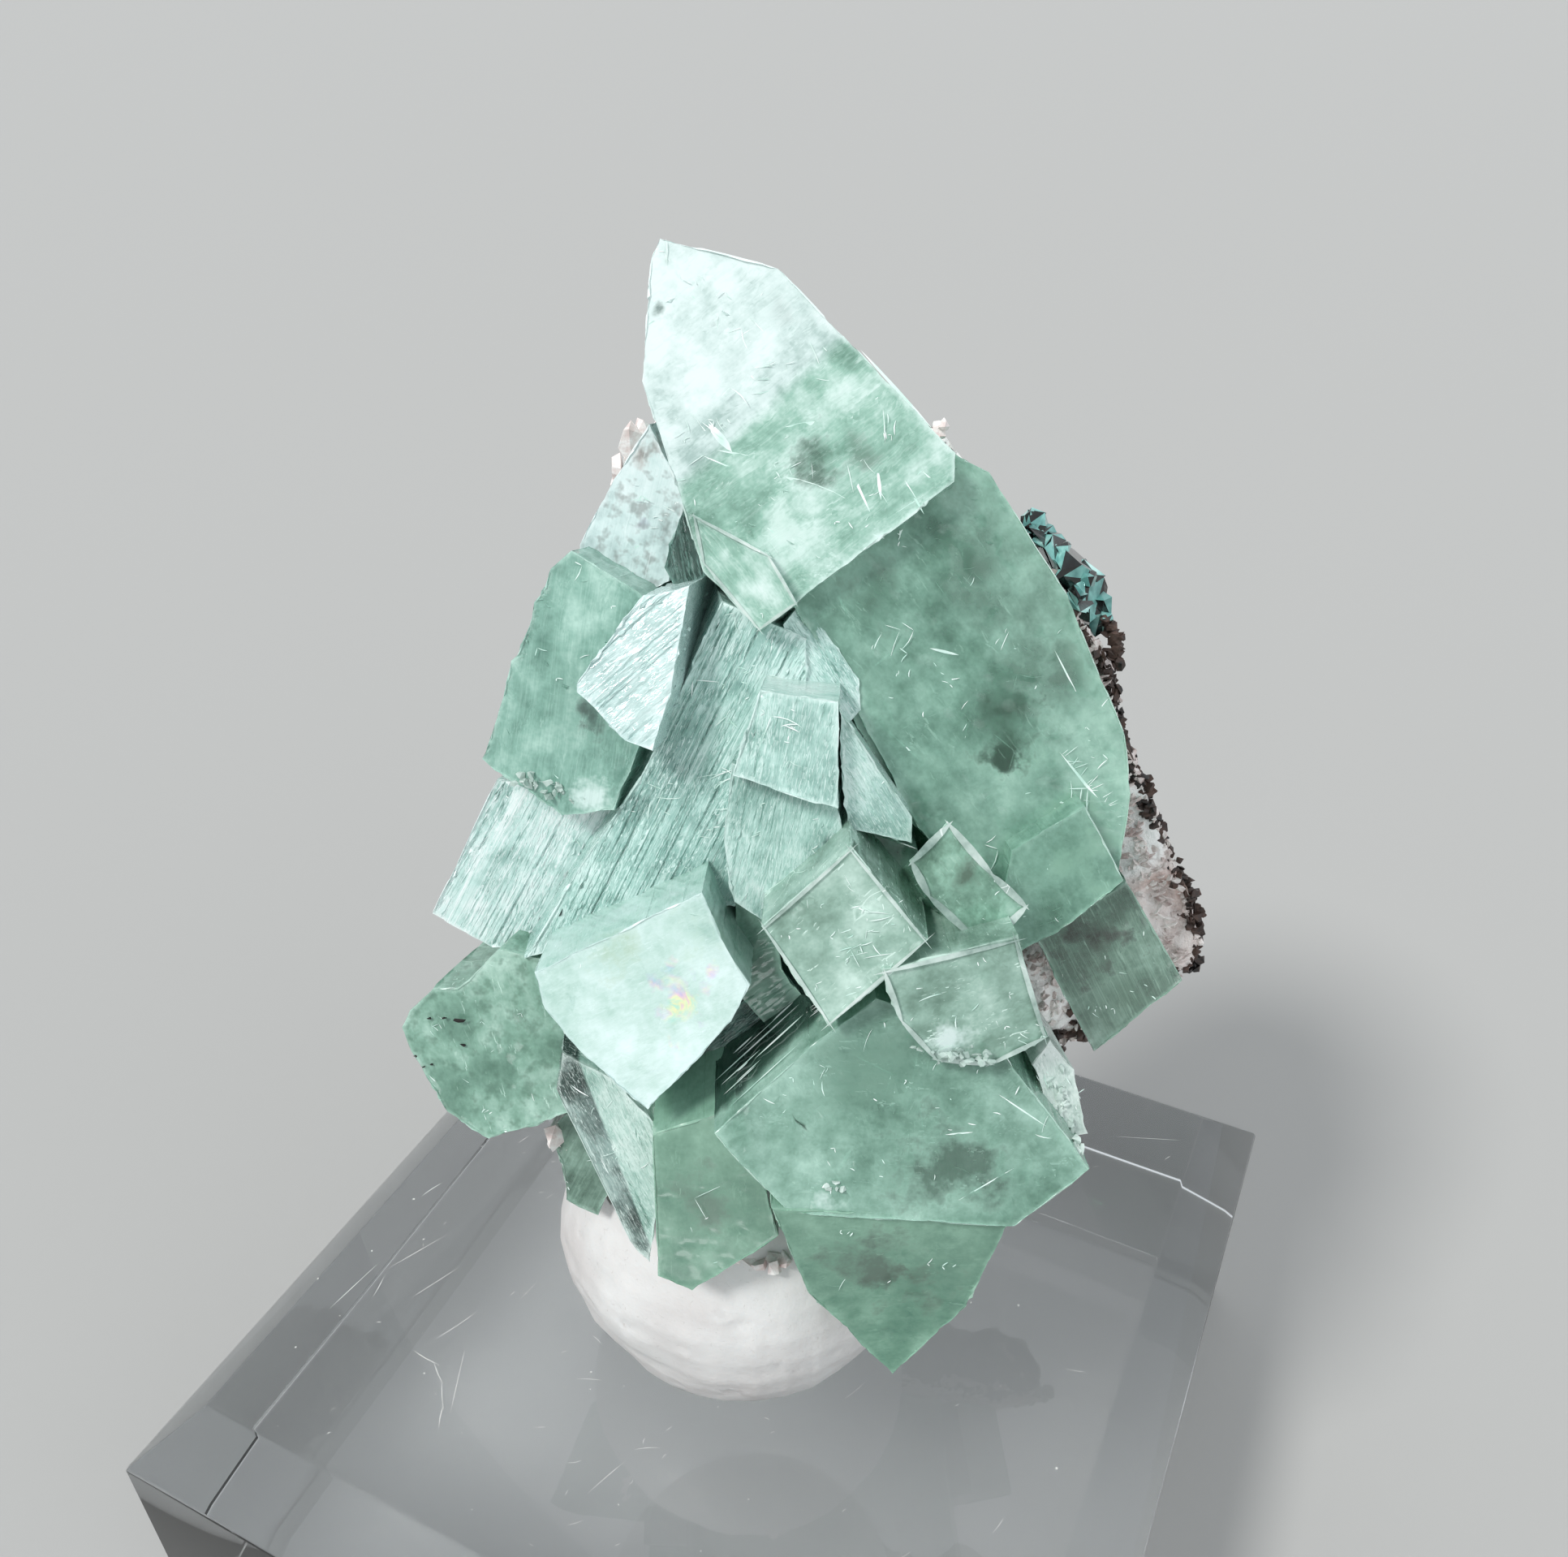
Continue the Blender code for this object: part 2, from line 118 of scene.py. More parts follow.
# Materials. A look shows striations above PLAIN_STRIPE and cracks from CRACKED_VEIL. Spots are pushed about
# within SPOT_PUSH millimetres, and reach SPOT_REACH times their radius.
CRYSTAL_IOR = 1.535
ACRYLIC_IOR = 1.49
HAZY_SHARE = 0.2
PLAIN_STRIPE = 0.15
CRACKED_VEIL = 0.60
SPOT_PUSH = 3.2
SPOT_REACH = 1.25
PUTTY_SHADE = (0.60, 0.58, 0.57)
PUTTY_WHITE = (0.70, 0.70, 0.69)
PUTTY_MARK = (0.52, 0.50, 0.48)

# Camera: where the photographer stood, and the lens on a 36 mm wide sensor. The floor is in metres.
CAMERA_PLACE = (30.9, -58.5, 113.0)
CAMERA_TURN = math.radians(25.9)
CAMERA_DIP = math.radians(34.4)
CAMERA_LENS = 32.0
FLOOR_SIZE = 3.0
FLOOR_DROP = 0.00005

# Lights: (name, where it shines from in the specimen's frame, its width in degrees, strength, colour).
SUNS = [
    ("key_from_left", (-330, 400, 400), 12, 2.2, (1.0, 0.99, 0.97)),
    ("front_fill", (420, 120, 430), 50, 0.5, (0.95, 0.98, 1.0)),
    ("face_sheen", (-120, -110, 560), 20, 0.22, (1.0, 1.0, 1.0)),
    ("back_rim", (160, 420, -260), 90, 0.6, (1.0, 1.0, 1.0)),
]
LIGHTS_AIM = (2, 22, 0)
SKY_COLOR = (0.80, 0.84, 0.88)
SKY_STRENGTH = 0.80

# The slot of a piece and the CAD node it is shown in place of.
GREEN = ("apophyllite", "apophyllite_crystals")
ROCK = ("host_rock", "host_rock")


class Crystal:
    """A block as the CAD has it. look names its material. axis is the angle on the face, in degrees, that its
    striations follow; without it they run back into the rock. ragged is how far its sides are nicked."""

    def __init__(
        self, name, look, front, corners, tilt=(0, 0), run=(0, 0), depth=None, axis=None, ragged=0.08
    ):
        self.name = name
        self.look = look
        self.front = front
        self.corners = corners
        self.middle = Vector([sum(corner[i] for corner in corners) / len(corners) for i in (0, 1)])
        self.tilt = tilt
        self.depth = depth or front - SEAT
        self.slant = Vector(run) / self.depth
        self.striated = axis is not None
        if self.striated:
            self.axis = Vector((math.cos(math.radians(axis)), math.sin(math.radians(axis)), 0))
        else:
            self.axis = Vector((-run[0], -run[1], self.depth)).normalized()
        self.ragged = ragged

    def sides(self):
        return zip(self.corners, self.corners[1:] + self.corners[:1])

    def front_at(self, across, up):
        """How far out the front face lies at a place."""
        return self.front + (across - self.middle.x) * self.tilt[0] + (up - self.middle.y) * self.tilt[1]

    def on_face(self, spot, lift):
        """The point lifted out of the front face by some millimetres at a spot on it."""
        return Vector((*spot, self.front_at(*spot) + lift))

    def holds(self, point):
        """Whether the point is inside the outline."""
        inside = False
        for (x0, y0), (x1, y1) in self.sides():
            if (y0 > point.y) != (y1 > point.y) and point.x < x0 + (point.y - y0) * (x1 - x0) / (y1 - y0):
                inside = not inside
        return inside

    def place_inside(self, below, rng):
        """A random point some way below the front face, or None where the draw falls outside the outline."""
        across = rng.uniform(min(c[0] for c in self.corners), max(c[0] for c in self.corners))
        up = rng.uniform(min(c[1] for c in self.corners), max(c[1] for c in self.corners))
        spot = Vector((across, up))
        return self.on_face(spot.lerp(self.middle, 0.12), -below) if self.holds(spot) else None


CRYSTALS = [
    Crystal("great_block", "great", front=1.0, tilt=(-0.12, -0.05), run=(0.5, -1.0), corners=[
        (2.5, 38.5), (7.5, 42.5), (11, 46), (13, 45), (15, 42), (17.5, 38.5), (19, 35), (21, 31),
        (21.5, 27.5), (21, 22.5), (15.5, 18.5), (9.5, 26), (5.5, 33.5)]),
    Crystal("tip", "tip", front=2.0, tilt=(0.03, -0.12), run=(0.5, -2.5), corners=[
        (-4.5, 55.5), (-4, 56.5), (2, 55), (9, 48), (11, 46), (11, 44.5), (3, 38.5), (1, 37), (-2, 40),
        (-4.5, 48), (-5, 49.5)]),
    Crystal("tip_flank", "tip", front=3.5, tilt=(0.3, 0.0), run=(0.0, 1.0), corners=[
        (-2.5, 43), (-2, 40.5), (1, 37), (3, 38.5), (1.5, 41)]),
    Crystal("great_block_step", "great", front=2.5, tilt=(-0.1, 0.05), run=(-1.0, 1.0), corners=[
        (14.5, 25), (18.5, 27.5), (21, 23), (17.5, 20), (15.5, 19), (14, 21.5)]),
    Crystal("right_foot", "smoky", front=0.0, tilt=(-0.1, 0.1), run=(-1.0, 1.5), corners=[
        (16.5, 19), (21.5, 22.5), (25.5, 16), (20.5, 11.5)]),
    Crystal("square", "square", front=9.5, tilt=(0.08, 0.05), run=(0.5, 1.0), corners=[
        (5.5, 27.5), (1, 23), (4.5, 17.5), (9.5, 22.5)]),
    Crystal("rimmed_square", "square", front=9.0, tilt=(-0.12, 0.1), run=(-0.5, 1.5), corners=[
        (7, 21), (14, 22.5), (16, 16.5), (13, 15), (10, 15.5), (8, 18)]),
    Crystal("frosted_chip", "frosty", front=6.0, tilt=(-0.2, 0.0), run=(-2.0, 2.0), ragged=0.35, corners=[
        (15.5, 14), (16.5, 15.5), (18, 13.5), (19, 9.5), (17, 9.5)]),
    Crystal("pale_upper", "pale", front=6.5, tilt=(0.15, -0.1), run=(1.0, 0.5), axis=80, corners=[
        (1, 34.5), (5, 34), (5, 28.5), (-0.5, 30)]),
    Crystal("pale_lower", "pale", front=5.0, tilt=(0.2, 0.1), run=(1.5, 0.5), axis=80, corners=[
        (-0.5, 30.5), (5, 28.5), (5.5, 26), (1, 21.5), (-0.5, 22.5), (-1, 26)]),
    Crystal("fan", "pale", front=5.5, tilt=(-0.25, 0.0), run=(-0.5, 0.5), axis=120, corners=[
        (5, 33.5), (9, 27.5), (9, 26), (5.5, 27)]),
    Crystal("left_shoulder", "shoulder", front=-2.0, tilt=(0.1, -0.1), run=(1.5, 0.0), corners=[
        (-5, 47.5), (-7, 44.5), (-9, 41), (-9, 40.5), (-5, 38.5), (-4, 39), (-3, 43.5)]),
    Crystal("left_green", "left_green", front=1.0, tilt=(0.2, -0.05), run=(2.0, 0.0), ragged=0.25, corners=[
        (-9, 41), (-10.2, 40), (-10.4, 39), (-11.2, 38.2), (-12, 35.5), (-12.6, 35), (-13.6, 31.5),
        (-14.5, 29.5), (-14, 29), (-10, 26.5), (-7, 27), (-5, 31.5), (-4, 37.5), (-5.5, 39)]),
    Crystal("white_striated", "white", front=4.5, tilt=(0.05, -0.15), run=(2.0, 0.0), axis=40, corners=[
        (-2.5, 39.5), (-5, 39), (-8.5, 34.5), (-8.5, 34), (-6, 31.5), (-4.5, 31), (-3.5, 34)]),
    Crystal("left_column", "column", front=-1.5, tilt=(0.15, 0.05), run=(3.5, 1.5), axis=60, corners=[
        (-14, 28), (-18.5, 19.5), (-17.5, 19), (-15, 17.5), (-13.5, 17.5), (-9, 22.5), (-7, 27.5)]),
    Crystal("long_prism", "prism", front=2.0, tilt=(0.1, -0.02), run=(-1.5, 1.0), axis=63, corners=[
        (-1, 38.5), (3.5, 36.5), (3.5, 31.5), (1, 27), (0.5, 22), (-12.5, 18), (-9.5, 23), (-5.5, 29)]),
    Crystal("pearly_block", "pearly", front=7.0, tilt=(0.05, -0.1), run=(0.5, 1.0), corners=[
        (-11, 19.5), (-2, 24), (-1, 21.5), (0.5, 19), (-0.5, 17), (-5, 12), (-8.5, 15), (-10.5, 17.5)]),
    # The striated step lies deep in the recess below the pearly block; its look paints it dark as shade.
    Crystal("striated_step", "painted_shade_step", front=2.0, tilt=(0.1, 0.0), run=(0.5, 2.0), axis=42, corners=[
        (-6, 9), (-0.5, 15.5), (2, 18), (5, 14.5), (0.5, 9), (-5, 6.5)]),
    Crystal("low_column", "low_column", front=4.5, tilt=(0.2, 0.1), run=(-1.0, 4.0), axis=112, corners=[
        (-10, 14), (-7, 12.5), (-4.5, 9.5), (-5, 4), (-5.5, 0.5), (-6.5, 1.5), (-10.5, 11.5)]),
    Crystal("low_block", "low_foot", front=6.0, tilt=(0.05, 0.1), run=(-0.5, 5.0), corners=[
        (-5, 10), (0, 12), (2, 3.5), (-3, -0.5), (-5, 0.5)]),
    Crystal("great_foot_upper", "foot", front=8.5, tilt=(-0.05, -0.15), run=(-0.5, 3.0), corners=[
        (-1.5, 11.5), (3.5, 16), (7, 18.5), (13, 16.5), (17.5, 10.5), (18.5, 9), (14.5, 6), (2.5, 7)]),
    Crystal("great_foot_lower", "low_foot", front=7.4, tilt=(-0.05, 0.3), run=(-1.0, 7.0), depth=10.0,
        ragged=0.15, corners=[
        (1.5, 7.5), (14.5, 6.5), (12.5, -0.5), (8.5, -6), (7, -4), (3.5, 1)]),
    Crystal("grey_chip", "smoky", front=0.0, tilt=(0.1, 0.0), run=(2.0, 3.0), depth=7.0, corners=[
        (-12, 6.5), (-11, 4.5), (-11, 2), (-9, 1), (-6.5, 6), (-9.5, 9)]),
    Crystal("lens", "lens", front=7.0, tilt=(-0.2, 0.0), run=(0.0, -7.0), corners=[
        (10.5, 28), (8.5, 26), (9.5, 24), (12, 21.5), (13.5, 21.5), (15, 23), (13, 25)]),
    Crystal("lower_left_mass", "mass", front=1.0, tilt=(0.15, -0.1), run=(3.5, 1.5), ragged=0.3, corners=[
        (-20, 13.5), (-19.5, 14.5), (-18, 16), (-16.5, 16), (-14, 18.5), (-10.5, 18), (-9, 13), (-10, 9),
        (-12, 8), (-15, 7), (-17.5, 8.5), (-19.5, 12)]),
]

# Small crystals that fill the crevices between the large ones. The CAD leaves them out.
CREVICE_CRYSTALS = [
    Crystal("upper_wedge", "prism", front=2.2, tilt=(-0.1, -0.1), axis=120, corners=[
        (2.1, 37.2), (3.2, 38.5), (6.3, 34.3), (6.4, 32.6), (5.4, 31.5), (2.8, 33.9)]),
    # A thin striated crystal deep in a crevice, painted dark as shade.
    Crystal("strip_in_painted_shade", "painted_shade_step", front=-0.3, tilt=(0.1, 0.0), axis=100, corners=[
        (-3.0, 43.7), (-1.6, 39.6), (-3.5, 38.3), (-4.3, 39.9)]),
    Crystal("side_wedge", "great", front=1.4, tilt=(-0.1, 0.05), corners=[
        (5.4, 33.1), (6.4, 34.0), (10.4, 26.8), (10.4, 24.8), (9.0, 26.2)]),
    Crystal("middle_step", "great", front=3.2, tilt=(0.05, -0.1), corners=[
        (6.9, 26.1), (9.5, 25.2), (10.0, 22.7), (11.3, 20.9), (8.3, 18.8), (7.4, 23.2)]),
    Crystal("inner_step", "great", front=2.6, tilt=(0.1, 0.0), axis=42, corners=[
        (-0.5, 21.9), (2.0, 21.4), (2.0, 18.1), (4.4, 15.0), (1.9, 13.8), (-0.5, 16.5)]),
    Crystal("lower_step", "mass", front=0.6, tilt=(0.1, -0.1), corners=[
        (-10.7, 12.6), (-8.2, 10.6), (-9.7, 7.5), (-10.8, 8.5)]),
]

# What sets each kind of crystal apart. deep, middle and pale are its screen colours. clear is how
# see-through it is where it isn't cloudy. turn is the angle of its fine flaws on a face, in degrees; veil
# and stripe are how much white flaw and striation it shows. absorb and density are what its depth takes
# from the light. glints is flaws per square millimetre.
Look = namedtuple("Look", "deep middle pale clear turn veil stripe absorb density glints")
LOOKS = {
    "tip": Look((124, 172, 152), (166, 210, 192), (230, 246, 242), 0.55, 35, 0.40, 0.2,
        (170, 225, 205), 45.0, 0.50),
    "great": Look((128, 178, 156), (154, 202, 182), (184, 224, 206), 0.80, -40, 0.35, 0.1,
        (140, 212, 180), 65.0, 0.30),
    "smoky": Look((104, 132, 118), (134, 170, 152), (176, 210, 194), 0.60, 60, 0.35, 0.3,
        (150, 196, 172), 65.0, 0.35),
    "square": Look((136, 174, 156), (170, 206, 190), (214, 238, 228), 0.55, 20, 0.90, 0.1,
        (180, 214, 194), 35.0, 1.60),
    "frosty": Look((140, 168, 158), (196, 216, 208), (236, 244, 240), 0.40, 50, 0.90, 0.4,
        (190, 220, 208), 25.0, 1.00),
    "pale": Look((140, 186, 174), (182, 220, 210), (228, 244, 240), 0.50, 85, 0.50, 0.7,
        (170, 220, 206), 40.0, 0.50),
    "shoulder": Look((156, 180, 178), (206, 226, 224), (236, 246, 246), 0.20, 30, 0.30, 0.2,
        (190, 220, 214), 30.0, 0.20),
    "left_green": Look((118, 166, 150), (152, 198, 182), (200, 232, 220), 0.50, -30, 0.35, 0.2,
        (150, 212, 190), 60.0, 0.35),
    "white": Look((158, 192, 188), (194, 220, 216), (220, 238, 236), 0.25, 45, 0.40, 0.9,
        (190, 226, 220), 30.0, 0.10),
    "column": Look((146, 190, 180), (198, 228, 222), (242, 248, 248), 0.45, 4, 0.45, 1.0,
        (170, 220, 208), 35.0, 0.25),
    "prism": Look((128, 174, 164), (172, 214, 204), (228, 246, 242), 0.45, 2, 0.40, 1.0,
        (150, 212, 196), 50.0, 0.30),
    "pearly": Look((140, 184, 168), (178, 210, 200), (212, 232, 230), 0.22, 15, 0.45, 0.2,
        (190, 224, 204), 30.0, 0.20),
    # A striated green crystal whose dark colours are painted shade, for crystals deep in recesses.
    "painted_shade_step": Look((42, 64, 58), (80, 114, 104), (150, 190, 180), 0.50, 0, 0.30, 1.0,
        (110, 170, 152), 80.0, 0.15),
    "low_column": Look((134, 174, 160), (178, 214, 202), (226, 242, 236), 0.40, 5, 0.45, 0.8,
        (170, 218, 204), 40.0, 0.30),
    "foot": Look((128, 176, 154), (152, 198, 178), (184, 222, 206), 0.78, 55, 0.50, 0.1,
        (146, 210, 182), 60.0, 0.35),
    "low_foot": Look((104, 150, 130), (128, 172, 150), (156, 198, 176), 0.35, -20, 0.35, 0.1,
        (130, 204, 170), 110.0, 0.12),
    "lens": Look((114, 158, 136), (160, 206, 184), (210, 240, 226), 0.50, 70, 0.35, 0.1,
        (164, 216, 192), 40.0, 0.50),
    "mass": Look((116, 160, 140), (148, 192, 172), (194, 226, 212), 0.50, 40, 0.70, 0.1,
        (150, 210, 184), 55.0, 0.30),
}
MILKY = (216, 234, 230)

# Patches on the crystals' faces that are darker, paler or milky: (screen colour, place in the specimen's
# frame, radius in millimetres, strength).
SPOTS = {
    "great": [
        ((72, 108, 92), (14.2, 29.6, 1.0), 1.6, 0.8), ((98, 142, 120), (14.6, 31.4, 1.0), 3.8, 0.7),
        ((104, 148, 126), (12.1, 39.6, 0.9), 2.4, 0.5), ((102, 146, 124), (17.3, 34.4, 0.6), 2.6, 0.55),
        ((104, 148, 126), (6.6, 38.6, 1.7), 2.6, 0.5), ((168, 212, 192), (19.6, 34.6, 0.4), 2.4, 0.6),
        ((168, 212, 192), (16.6, 40.6, 0.4), 2.6, 0.6), ((158, 206, 182), (18.8, 25.0, 1.4), 4.8, 0.7),
    ],
    "tip": [
        ((86, 130, 108), (3.6, 45.8, 2.3), 2.0, 0.75), ((112, 144, 126), (6.0, 46.6, 2.3), 1.8, 0.5),
        ((138, 160, 154), (-3.9, 53.0, 1.2), 0.7, 0.8), ((132, 154, 148), (-2.1, 52.0, 1.3), 0.7, 0.8),
        ((170, 192, 186), (2.0, 53.0, 1.5), 1.6, 0.4), ((206, 232, 222), (1.6, 42.8, 2.5), 2.2, 0.6),
    ],
    "smoky": [
        ((62, 60, 58), (19.7, 18.8, 0.4), 4.2, 0.9), ((120, 156, 136), (22.5, 14.8, -0.4), 3.0, 0.8),
    ],
    "left_green": [
        ((84, 104, 98), (-8.1, 32.0, 1.5), 1.5, 0.8), (MILKY, (-8.8, 27.6, 1.5), 2.4, 0.8),
    ],
    "shoulder": [
        ((168, 150, 142), (-5.0, 45.8, -2.3), 1.3, 0.6), ((150, 152, 176), (-5.0, 42.4, -2.0), 0.8, 0.6),
    ],
    "foot": [
        ((98, 132, 114), (10.6, 9.6, 8.7), 4.8, 0.6), (MILKY, (4.4, 8.4, 9.3), 1.4, 0.7),
        ((140, 186, 164), (6.0, 14.6, 8.2), 4.6, 0.6),
    ],
    "low_foot": [
        ((104, 124, 112), (-2.1, 5.7, 6.1), 3.4, 0.6), ((98, 116, 106), (7.0, 3.6, 8.4), 4.2, 0.75),
        ((104, 122, 110), (9.6, 1.4, 7.6), 4.2, 0.7),
    ],
    "square": [
        (MILKY, (10.7, 16.6, 8.9), 1.9, 1.0),
    ],
    "lens": [
        ((104, 128, 110), (11.6, 24.9, 7.0), 1.3, 0.8),
    ],
    "pale": [
        ((92, 124, 116), (4.3, 26.7, 5.6), 1.1, 0.9), ((110, 144, 136), (1.0, 29.6, 5.0), 1.4, 0.7),
    ],
    "prism": [
        ((112, 112, 214), (-0.4, 32.3, 2.1), 0.45, 0.7),
    ],
    "pearly": [
        ((148, 184, 150), (-6.5, 20.9, 6.8), 3.0, 0.7), ((156, 196, 168), (-2.4, 22.0, 6.9), 2.4, 0.7),
    ],
}

# The edge of a zone across a crystal: (direction in the specimen's frame, from, to, the colours past it).
# The tip is milky above a line, painted whiter there as sunlit haze; the low column has a dark strip down
# its left side; and the foot's side, which makes a step below the pearly block, is painted dark as shade.
ZONES = {
    "tip": [
        # The milky haze above this line is painted whiter, as sunlight on it.
        ((-0.65, 0.76, 0.0), 34.6, 36.8, (182, 208, 202), (232, 246, 244)),
    ],
    "low_column": [
        ((-0.956, -0.294, 0.0), 4.5, 4.9, (62, 80, 76), (166, 192, 186)),
    ],
    "foot": [
        # Painted shade: the foot's side in the recess below the pearly block.
        ((-0.67, 0.74, 0.0), 9.5, 9.9, (40, 62, 54), (104, 142, 128)),
    ],
}

# Crystals with fine dark speckles, and their colours.
SPECKLES = {
    "shoulder": (122, 122, 118),
    "mass": (112, 152, 132),
}

# Bright blades under the crystals' faces: (start, end, width).
BLADES = {
    "tip": [
        ((3.2, 45.9), (4.8, 45.6), 0.16), ((3.5, 45.9), (3.6, 44.4), 0.16),
        ((6.9, 45.2), (7.8, 45.4), 0.12), ((7.0, 45.2), (7.2, 43.6), 0.18),
        ((4.6, 48.2), (5.3, 45.9), 0.50), ((5.3, 45.8), (6.7, 42.9), 0.14),
        ((2.0, 47.1), (4.1, 47.5), 0.26), ((-1.2, 46.1), (0.5, 45.8), 0.10),
        ((2.2, 44.8), (5.4, 43.7), 0.34), ((5.8, 42.1), (7.4, 41.7), 0.16),
        ((5.7, 42.1), (5.7, 41.0), 0.14), ((-1.6, 47.4), (-0.4, 46.0), 0.45),
        ((3.0, 44.0), (3.1, 42.8), 0.10), ((8.4, 44.6), (9.4, 42.9), 0.12),
        ((-3.3, 49.9), (-1.3, 48.3), 0.10), ((-0.5, 51.0), (0.8, 49.5), 0.12),
        ((6.1, 51.0), (9.8, 47.1), 0.16), ((0.7, 42.7), (3.7, 40.6), 0.08),
        ((-2.1, 45.9), (0.8, 44.7), 0.08), ((8.6, 45.5), (10.2, 44.3), 0.12),
        ((7.0, 42.3), (9.4, 43.9), 0.07),
    ],
    "great_block": [
        ((7.6, 31.6), (10.2, 29.2), 0.09), ((7.6, 33.3), (8.3, 31.4), 0.07),
        ((6.9, 34.8), (8.3, 35.9), 0.12), ((10.0, 35.8), (11.6, 35.4), 0.16),
        ((10.1, 39.5), (10.9, 38.4), 0.06), ((4.9, 39.0), (5.6, 37.6), 0.14),
        ((10.9, 43.4), (13.3, 40.4), 0.07), ((13.3, 40.4), (14.0, 41.9), 0.06),
        ((14.3, 38.5), (15.3, 40.0), 0.07), ((13.6, 31.1), (14.8, 30.1), 0.08),
        ((14.8, 30.1), (14.5, 29.0), 0.08), ((10.8, 27.6), (13.3, 26.8), 0.06),
        ((16.8, 35.6), (18.3, 32.9), 0.09), ((17.3, 23.9), (19.5, 26.1), 0.07),
    ],
    "great_foot_upper": [
        ((4.1, 10.4), (6.2, 7.2), 0.08), ((7.3, 12.5), (9.2, 13.5), 0.07), ((9.2, 13.5), (9.6, 11.1), 0.07),
        ((11.4, 7.5), (14.4, 9.2), 0.08), ((10.7, 11.1), (12.2, 11.2), 0.10),
        ((5.8, 15.5), (8.3, 14.2), 0.07), ((1.1, 11.3), (3.0, 13.4), 0.06),
        ((13.5, 13.2), (16.1, 11.4), 0.09), ((5.0, 9.2), (5.8, 10.6), 0.22),
    ],
}

# The edge of the foot's side, which is painted dark as shade, the bright lines down it, and the feathered
# crack in the great block.
STEP_EDGE = [(-1.5, 11.5), (3.5, 16.0), (7.0, 18.5)]
STEP_LINES = 22
FEATHER_CRACK = ((17.3, 30.0, 0.75), (20.7, 25.9, 0.45))

# Crystals with a raised pale rim, and its width.
RIMMED = {"lens": 0.42, "rimmed_square": 0.28, "tip_flank": 0.18, "square": 0.2}

# Broken edges with frosty chips: (start, end, out, count, size).
FROSTED_EDGES = [
    ((16.2, 14.6), (17.8, 10.0), 6.2, 60, 0.42), ((10.0, 15.8), (13.0, 15.6), 9.3, 34, 0.34),
    ((-12.5, 28.6), (-7.2, 27.4), 1.6, 46, 0.36), ((3.4, 8.0), (5.8, 8.8), 9.3, 30, 0.30),
    ((17.6, 10.2), (18.2, 9.2), 8.0, 12, 0.40), ((8.4, 18.2), (9.6, 15.8), 9.1, 16, 0.26),
]

# Black grains: (place, length).
BLACK_SPECKS = [
    ((-16.4, 14.3, 0.9), 0.45), ((-17.3, 14.3, 0.7), 0.16), ((-18.2, 14.2, 0.5), 0.16),
    ((-16.3, 12.7, 0.9), 0.22), ((-19.2, 11.8, 0.4), 0.22), ((-18.7, 11.2, 0.6), 0.12),
    ((-18.2, 11.4, 0.7), 0.12), ((-0.6, 19.0, 2.0), 0.18), ((0.3, 19.2, 2.1), 0.16),
]

# The rock's right rim, down its outline: the brown-black crust on it, and the white feathery band inside
# it.
RIM_OUT = -10.2
RIM_CRUST = [
    (22.5, 35.6), (23.1, 34.5), (23.1, 33.2), (22.9, 32.0), (23.3, 30.2), (23.9, 27.9), (24.1, 26.3),
    (24.7, 25.8), (25.5, 25.4), (25.8, 23.9), (26.3, 22.7), (27.0, 21.0), (27.2, 19.8), (28.4, 18.8),
    (29.1, 17.8), (29.4, 16.3), (29.4, 14.6), (29.4, 12.6),
]
RIM_FEATHERS = [
    (18.0, 39.2), (19.4, 37.6), (20.5, 35.8), (21.7, 33.8), (22.6, 32.0), (23.1, 30.2), (23.5, 28.4),
    (24.2, 26.5), (25.1, 24.1), (25.9, 21.7), (26.8, 19.8), (27.7, 18.3), (28.4, 15.8), (28.9, 12.8),
]

# Brown lumps on the right rim: (place, size).
RIM_NODULES = [
    ((21.6, 36.2, -11.4), 0.6), ((22.2, 34.9, -11.4), 0.8), ((22.5, 33.2, -11.4), 0.75),
    ((23.0, 31.0, -11.6), 0.4),
]

# Lumps of pale rock between the crystals: (place, size across, up and out). They show at the grey chip,
# above the left shoulder, between the tip and the great block, and beside the lowest point.
PALE_LUMPS = [
    ((-11.4, 5.9, -0.9), (0.8, 1.0, 0.9)), ((-10.9, 5.0, -1.2), (0.6, 0.8, 0.8)),
    ((-5.7, 46.5, -4.2), (0.9, 1.4, 1.2)), ((-6.9, 44.8, -4.6), (0.7, 1.1, 1.2)),
    ((10.5, 47.0, -2.6), (0.6, 0.6, 1.4)), ((-0.5, -0.6, 2.4), (0.8, 0.6, 0.9)),
    ((0.6, -0.3, 2.4), (0.9, 0.7, 0.9)), ((1.7, 0.0, 2.6), (0.7, 0.7, 0.9)),
]

# A fibre lying on the base's top, as points across and along it.
DUST_FIBRE = [(-17.5, -18.0), (-15.6, -18.1), (-14.2, -19.0), (-13.0, -20.4), (-12.4, -21.6)]


def crystal_named(name):
    return next(spec for spec in CRYSTALS if spec.name == name)


def specimen_matrix():
    """Takes the specimen's across, up and out to the world, in millimetres."""
    across = Vector((math.cos(SPECIMEN_TURN), math.sin(SPECIMEN_TURN), 0))
    toward = Vector((math.sin(SPECIMEN_TURN), -math.cos(SPECIMEN_TURN), 0))
    vertical = Vector((0, 0, 1))
    up = vertical * math.cos(SPECIMEN_LEAN) - toward * math.sin(SPECIMEN_LEAN)
    out = toward * math.cos(SPECIMEN_LEAN) + vertical * math.sin(SPECIMEN_LEAN)
    matrix = Matrix((across, up, out)).transposed().to_4x4()
    matrix.translation = toward * SPECIMEN_FORWARD + vertical * (BASE_HEIGHT + SPECIMEN_RISE)
    return matrix


FRAME = specimen_matrix()
UNFRAME = FRAME.inverted()


# Node helpers ---------------------------------------------------------------------------------------------


def tone(red, green, blue):
    """A colour as a screen shows it, 0 to 255, made linear."""
    return tuple(((channel / 255 + 0.055) / 1.055) ** 2.4 for channel in (red, green, blue))


